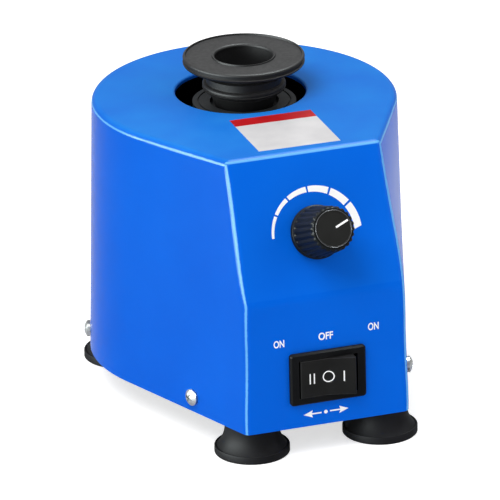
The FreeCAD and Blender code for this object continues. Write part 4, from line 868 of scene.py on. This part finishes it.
shape = bmesh.new()
along = Vector((math.sin(pointer_turn), math.cos(pointer_turn)))
across = Vector((along.y, -along.x)) * pointer_half
outline = [along * pointer_start - across, along * pointer_start + across, along * pointer_end + across,
           along * pointer_end - across]
printed_plate(shape, [tuple(p) for p in outline], slope_place @ Matrix.Translation((0, 0, cap_face * mm)),
              pointer_lift + print_thickness)
new_piece("knob_pointer", shape, ink, "knob")

# A thin dull grey metal ring round the cap's rim, a painted highlight standing in for the light on its
# bevelled edge.
shape = bmesh.new()
turned_shape(shape, ring_section, slope_place)
ring_highlight = metal("cap_rim_highlight", (96, 96, 99), (62, 62, 66), 0.34, 0.46, 900.0, 0.003 * mm, 1.0)
smooth(new_piece("cap_ring", shape, ring_highlight, "knob"))

# Rocker switch. A black three-position switch, snapped into the panel from the front. Its rocker is
# satin, bent to a shallow V, and printed with the plain marks II, O and I.
mark_bars = [(-8.2, 0.0, 4.5, 0.5), (-6.4, 0.0, 4.5, 0.5), (5.9, 0.1, 4.5, 0.5)]
mark_circle = (-0.28, 0.12, 2.45, 0.46)
mark_lift = 0.03 * mm
bar_steps = 6
dress(moulded_plastic("switch_plastic", (10, 11, 13), (15, 16, 18), 1500.0, 0.012 * mm, 0.38,
                      edge_light=(96, 96, 100), edge=0.3, specular=0.06), "rocker_housing")
dress(moulded_plastic("rocker_plastic", (19, 19, 19), (25, 25, 25), 1800.0, 0.008 * mm, 0.34,
                      edge_light=(112, 112, 116), edge=0.4), "rocker_button")
rocker = frame["nodes"]["rocker_button"].data
rocker_tree = BVHTree.FromPolygons([v.co.copy() for v in rocker.vertices],
                                   [p.vertices[:] for p in rocker.polygons])


def laid_on_rocker(x, y, lift):
    """The point of the rocker's face below a point of the panel's plane, lifted a little."""
    above = panel_place @ Vector((x, y, 20 * mm))
    return rocker_tree.ray_cast(above, -panel_out)[0] + panel_out * lift


def laid_strip(shape, left, right):
    """A thin closed strip between two rows of panel points, laid on the rocker's face."""
    rows = []
    for a, b in zip(left, right):
        corners = [(a, mark_lift), (b, mark_lift), (b, -mark_lift), (a, -mark_lift)]
        rows.append([shape.verts.new(laid_on_rocker(*point, lift)) for point, lift in corners])
    closed = left[0] == left[-1]
    count = len(rows) - 1
    if closed:
        for vert in rows.pop():
            shape.verts.remove(vert)
    for i in range(count):
        here = rows[i]
        there = rows[(i + 1) % len(rows)]
        for j in range(4):
            k = (j + 1) % 4
            shape.faces.new([here[j], here[k], there[k], there[j]])
    if not closed:
        shape.faces.new(rows[0][::-1])
        shape.faces.new(rows[-1])


shape = bmesh.new()
for x, y, height, width in mark_bars:
    steps = [i / bar_steps for i in range(bar_steps + 1)]
    left = [((x - width / 2) * mm, (y - height / 2 + height * t) * mm) for t in steps]
    right = [((x + width / 2) * mm, (y - height / 2 + height * t) * mm) for t in steps]
    laid_strip(shape, left, right)
x, y, radius, width = mark_circle
turns = [math.radians(a % 360) for a in range(0, 361, 6)]
inner, outer = [[((x + r * math.cos(t)) * mm, (y + r * math.sin(t)) * mm) for t in turns]
                for r in (radius - width, radius)]
laid_strip(shape, inner, outer)
new_piece("rocker_marks", shape, ink, "rocker")
dress(metal("nickel", (196, 190, 176), (160, 154, 142), 0.22, 0.36, 1200.0, 0.003 * mm), "rocker_terminals",
      "inlet_blades")

# Power inlet. A moulded appliance inlet, snapped upright into the back of the cover, with a chamfered
# socket and three flat nickel-plated pins.
dress(moulded_plastic("inlet_plastic", (15, 15, 17), (21, 21, 23), 1400.0, 0.01 * mm, 0.38,
                      edge_light=(100, 100, 104), edge=0.45), "power_inlet")

# Speed control board. Green solder mask over copper, with black devices and a green terminal block.
# It stands on nylon pillars over the tray's slots.
dress(moulded_plastic("solder_mask", (18, 84, 44), (26, 102, 56), 700.0, 0.01 * mm, 0.3, edge=0.0),
      "control_board")
dress(moulded_plastic("device_black", (26, 26, 28), (38, 38, 40), 1600.0, 0.008 * mm, 0.45),
      "triac", "board_capacitors")
dress(moulded_plastic("block_green", (30, 110, 56), (40, 126, 66), 1200.0, 0.008 * mm, 0.4),
      "terminal_block")

# Stage. A plain floor and surround that the camera sees as white, under a large soft lamp from the
# upper left, a weaker one from the right and even light from all round. Two more lamps show only in
# gloss, where they draw the highlights along the cover's left side and over its top.
camera_azimuth = -19.671
camera_elevation = 21.84
camera_roll = -0.867
camera_distance = 3.6
camera_shift_right = -3.603 * mm
camera_shift_up = -8.564 * mm
pixels_per_mm = 2.403
picture_pixels = 500
sensor = 36.0
target = Vector((0, arc_middle_y - 15 * mm, 69 * mm))
surround_seen, surround_light = 1.0, 0.5
floor_glow = 0.62
floor_radius = 3.0
lamp_aim = Vector((0, 0, 0.07))
gloss_tint = (0.92, 1.0, 1.0)
lamps = [("key", (-0.72, -0.5, 1.32), (0.9, 0.9), 14.2, True),
         ("fill", (1.1, -0.7, 0.7), (0.9, 0.9), 4.0, True),
         ("left_gloss", (-1.15, -0.15, 0.36), (1.5, 0.42), 105.0, False),
         ("top_gloss", (0.36, 0.02, 1.2), (0.5, 0.5), 60.0, False)]

azimuth = math.radians(camera_azimuth)
elevation = math.radians(camera_elevation)
back = Vector((math.sin(azimuth) * math.cos(elevation), -math.cos(azimuth) * math.cos(elevation),
               math.sin(elevation)))
right = (-back).cross(Vector((0, 0, 1))).normalized()
up = back.cross(right)
target += right * camera_shift_right + up * camera_shift_up
roll = math.radians(camera_roll)
level_x = right * math.cos(roll) + up * math.sin(roll)
level_y = up * math.cos(roll) - right * math.sin(roll)
lens = bpy.data.cameras.new("camera")
lens.sensor_width = sensor
lens.lens = pixels_per_mm * (camera_distance / mm) * sensor / picture_pixels
lens.clip_start = 0.1
lens.clip_end = 50.0
camera = bpy.data.objects.new("camera", lens)
bpy.context.scene.collection.objects.link(camera)
eye = target + back * camera_distance
camera.matrix_world = Matrix(((level_x.x, level_y.x, back.x, eye.x),
                              (level_x.y, level_y.y, back.y, eye.y),
                              (level_x.z, level_y.z, back.z, eye.z), (0, 0, 0, 1)))
bpy.context.scene.camera = camera


def seen_white(tree, seen, light):
    """One strength for what the camera sees, and another for the light and the reflections."""
    path = add_node(tree, "ShaderNodeLightPath").outputs
    return ranged(tree, path["Is Camera Ray"], light, seen)


world = bpy.data.worlds.new("studio")
bpy.context.scene.world = world
world.use_nodes = True
surround = world.node_tree.nodes["Background"]
surround.inputs["Color"].default_value = (1, 1, 1, 1)
surround_glow = seen_white(world.node_tree, surround_seen, surround_light)
world.node_tree.links.new(surround_glow, surround.inputs["Strength"])

floor_shape = bmesh.new()
bmesh.ops.create_circle(floor_shape, cap_ends=True, radius=floor_radius, segments=64)
floor_mesh = bpy.data.meshes.new("floor")
floor_shape.to_mesh(floor_mesh)
floor_shape.free()
floor = bpy.data.objects.new("floor", floor_mesh)
bpy.context.scene.collection.objects.link(floor)
made, tree, shader = new_material("white_floor", {"Roughness": 0.8, "Specular IOR Level": 0.2,
                                                  "Base Color": (0.82, 0.82, 0.82, 1)})
shader.inputs["Emission Color"].default_value = (1, 1, 1, 1)
tree.links.new(seen_white(tree, floor_glow, 0.0), shader.inputs["Emission Strength"])
floor_mesh.materials.append(made)

for name, place, size, power, on_matt in lamps:
    lamp = bpy.data.lights.new(name, "AREA")
    lamp.shape = "RECTANGLE"
    lamp.size, lamp.size_y = size
    lamp.energy = power
    holder = bpy.data.objects.new(name, lamp)
    bpy.context.scene.collection.objects.link(holder)
    holder.location = place
    holder.visible_diffuse = on_matt
    if not on_matt:
        lamp.color = gloss_tint
    holder.rotation_mode = "QUATERNION"
    holder.rotation_quaternion = (lamp_aim - Vector(place)).to_track_quat("-Z", "Y")

bpy.context.scene.view_settings.view_transform = "Standard"
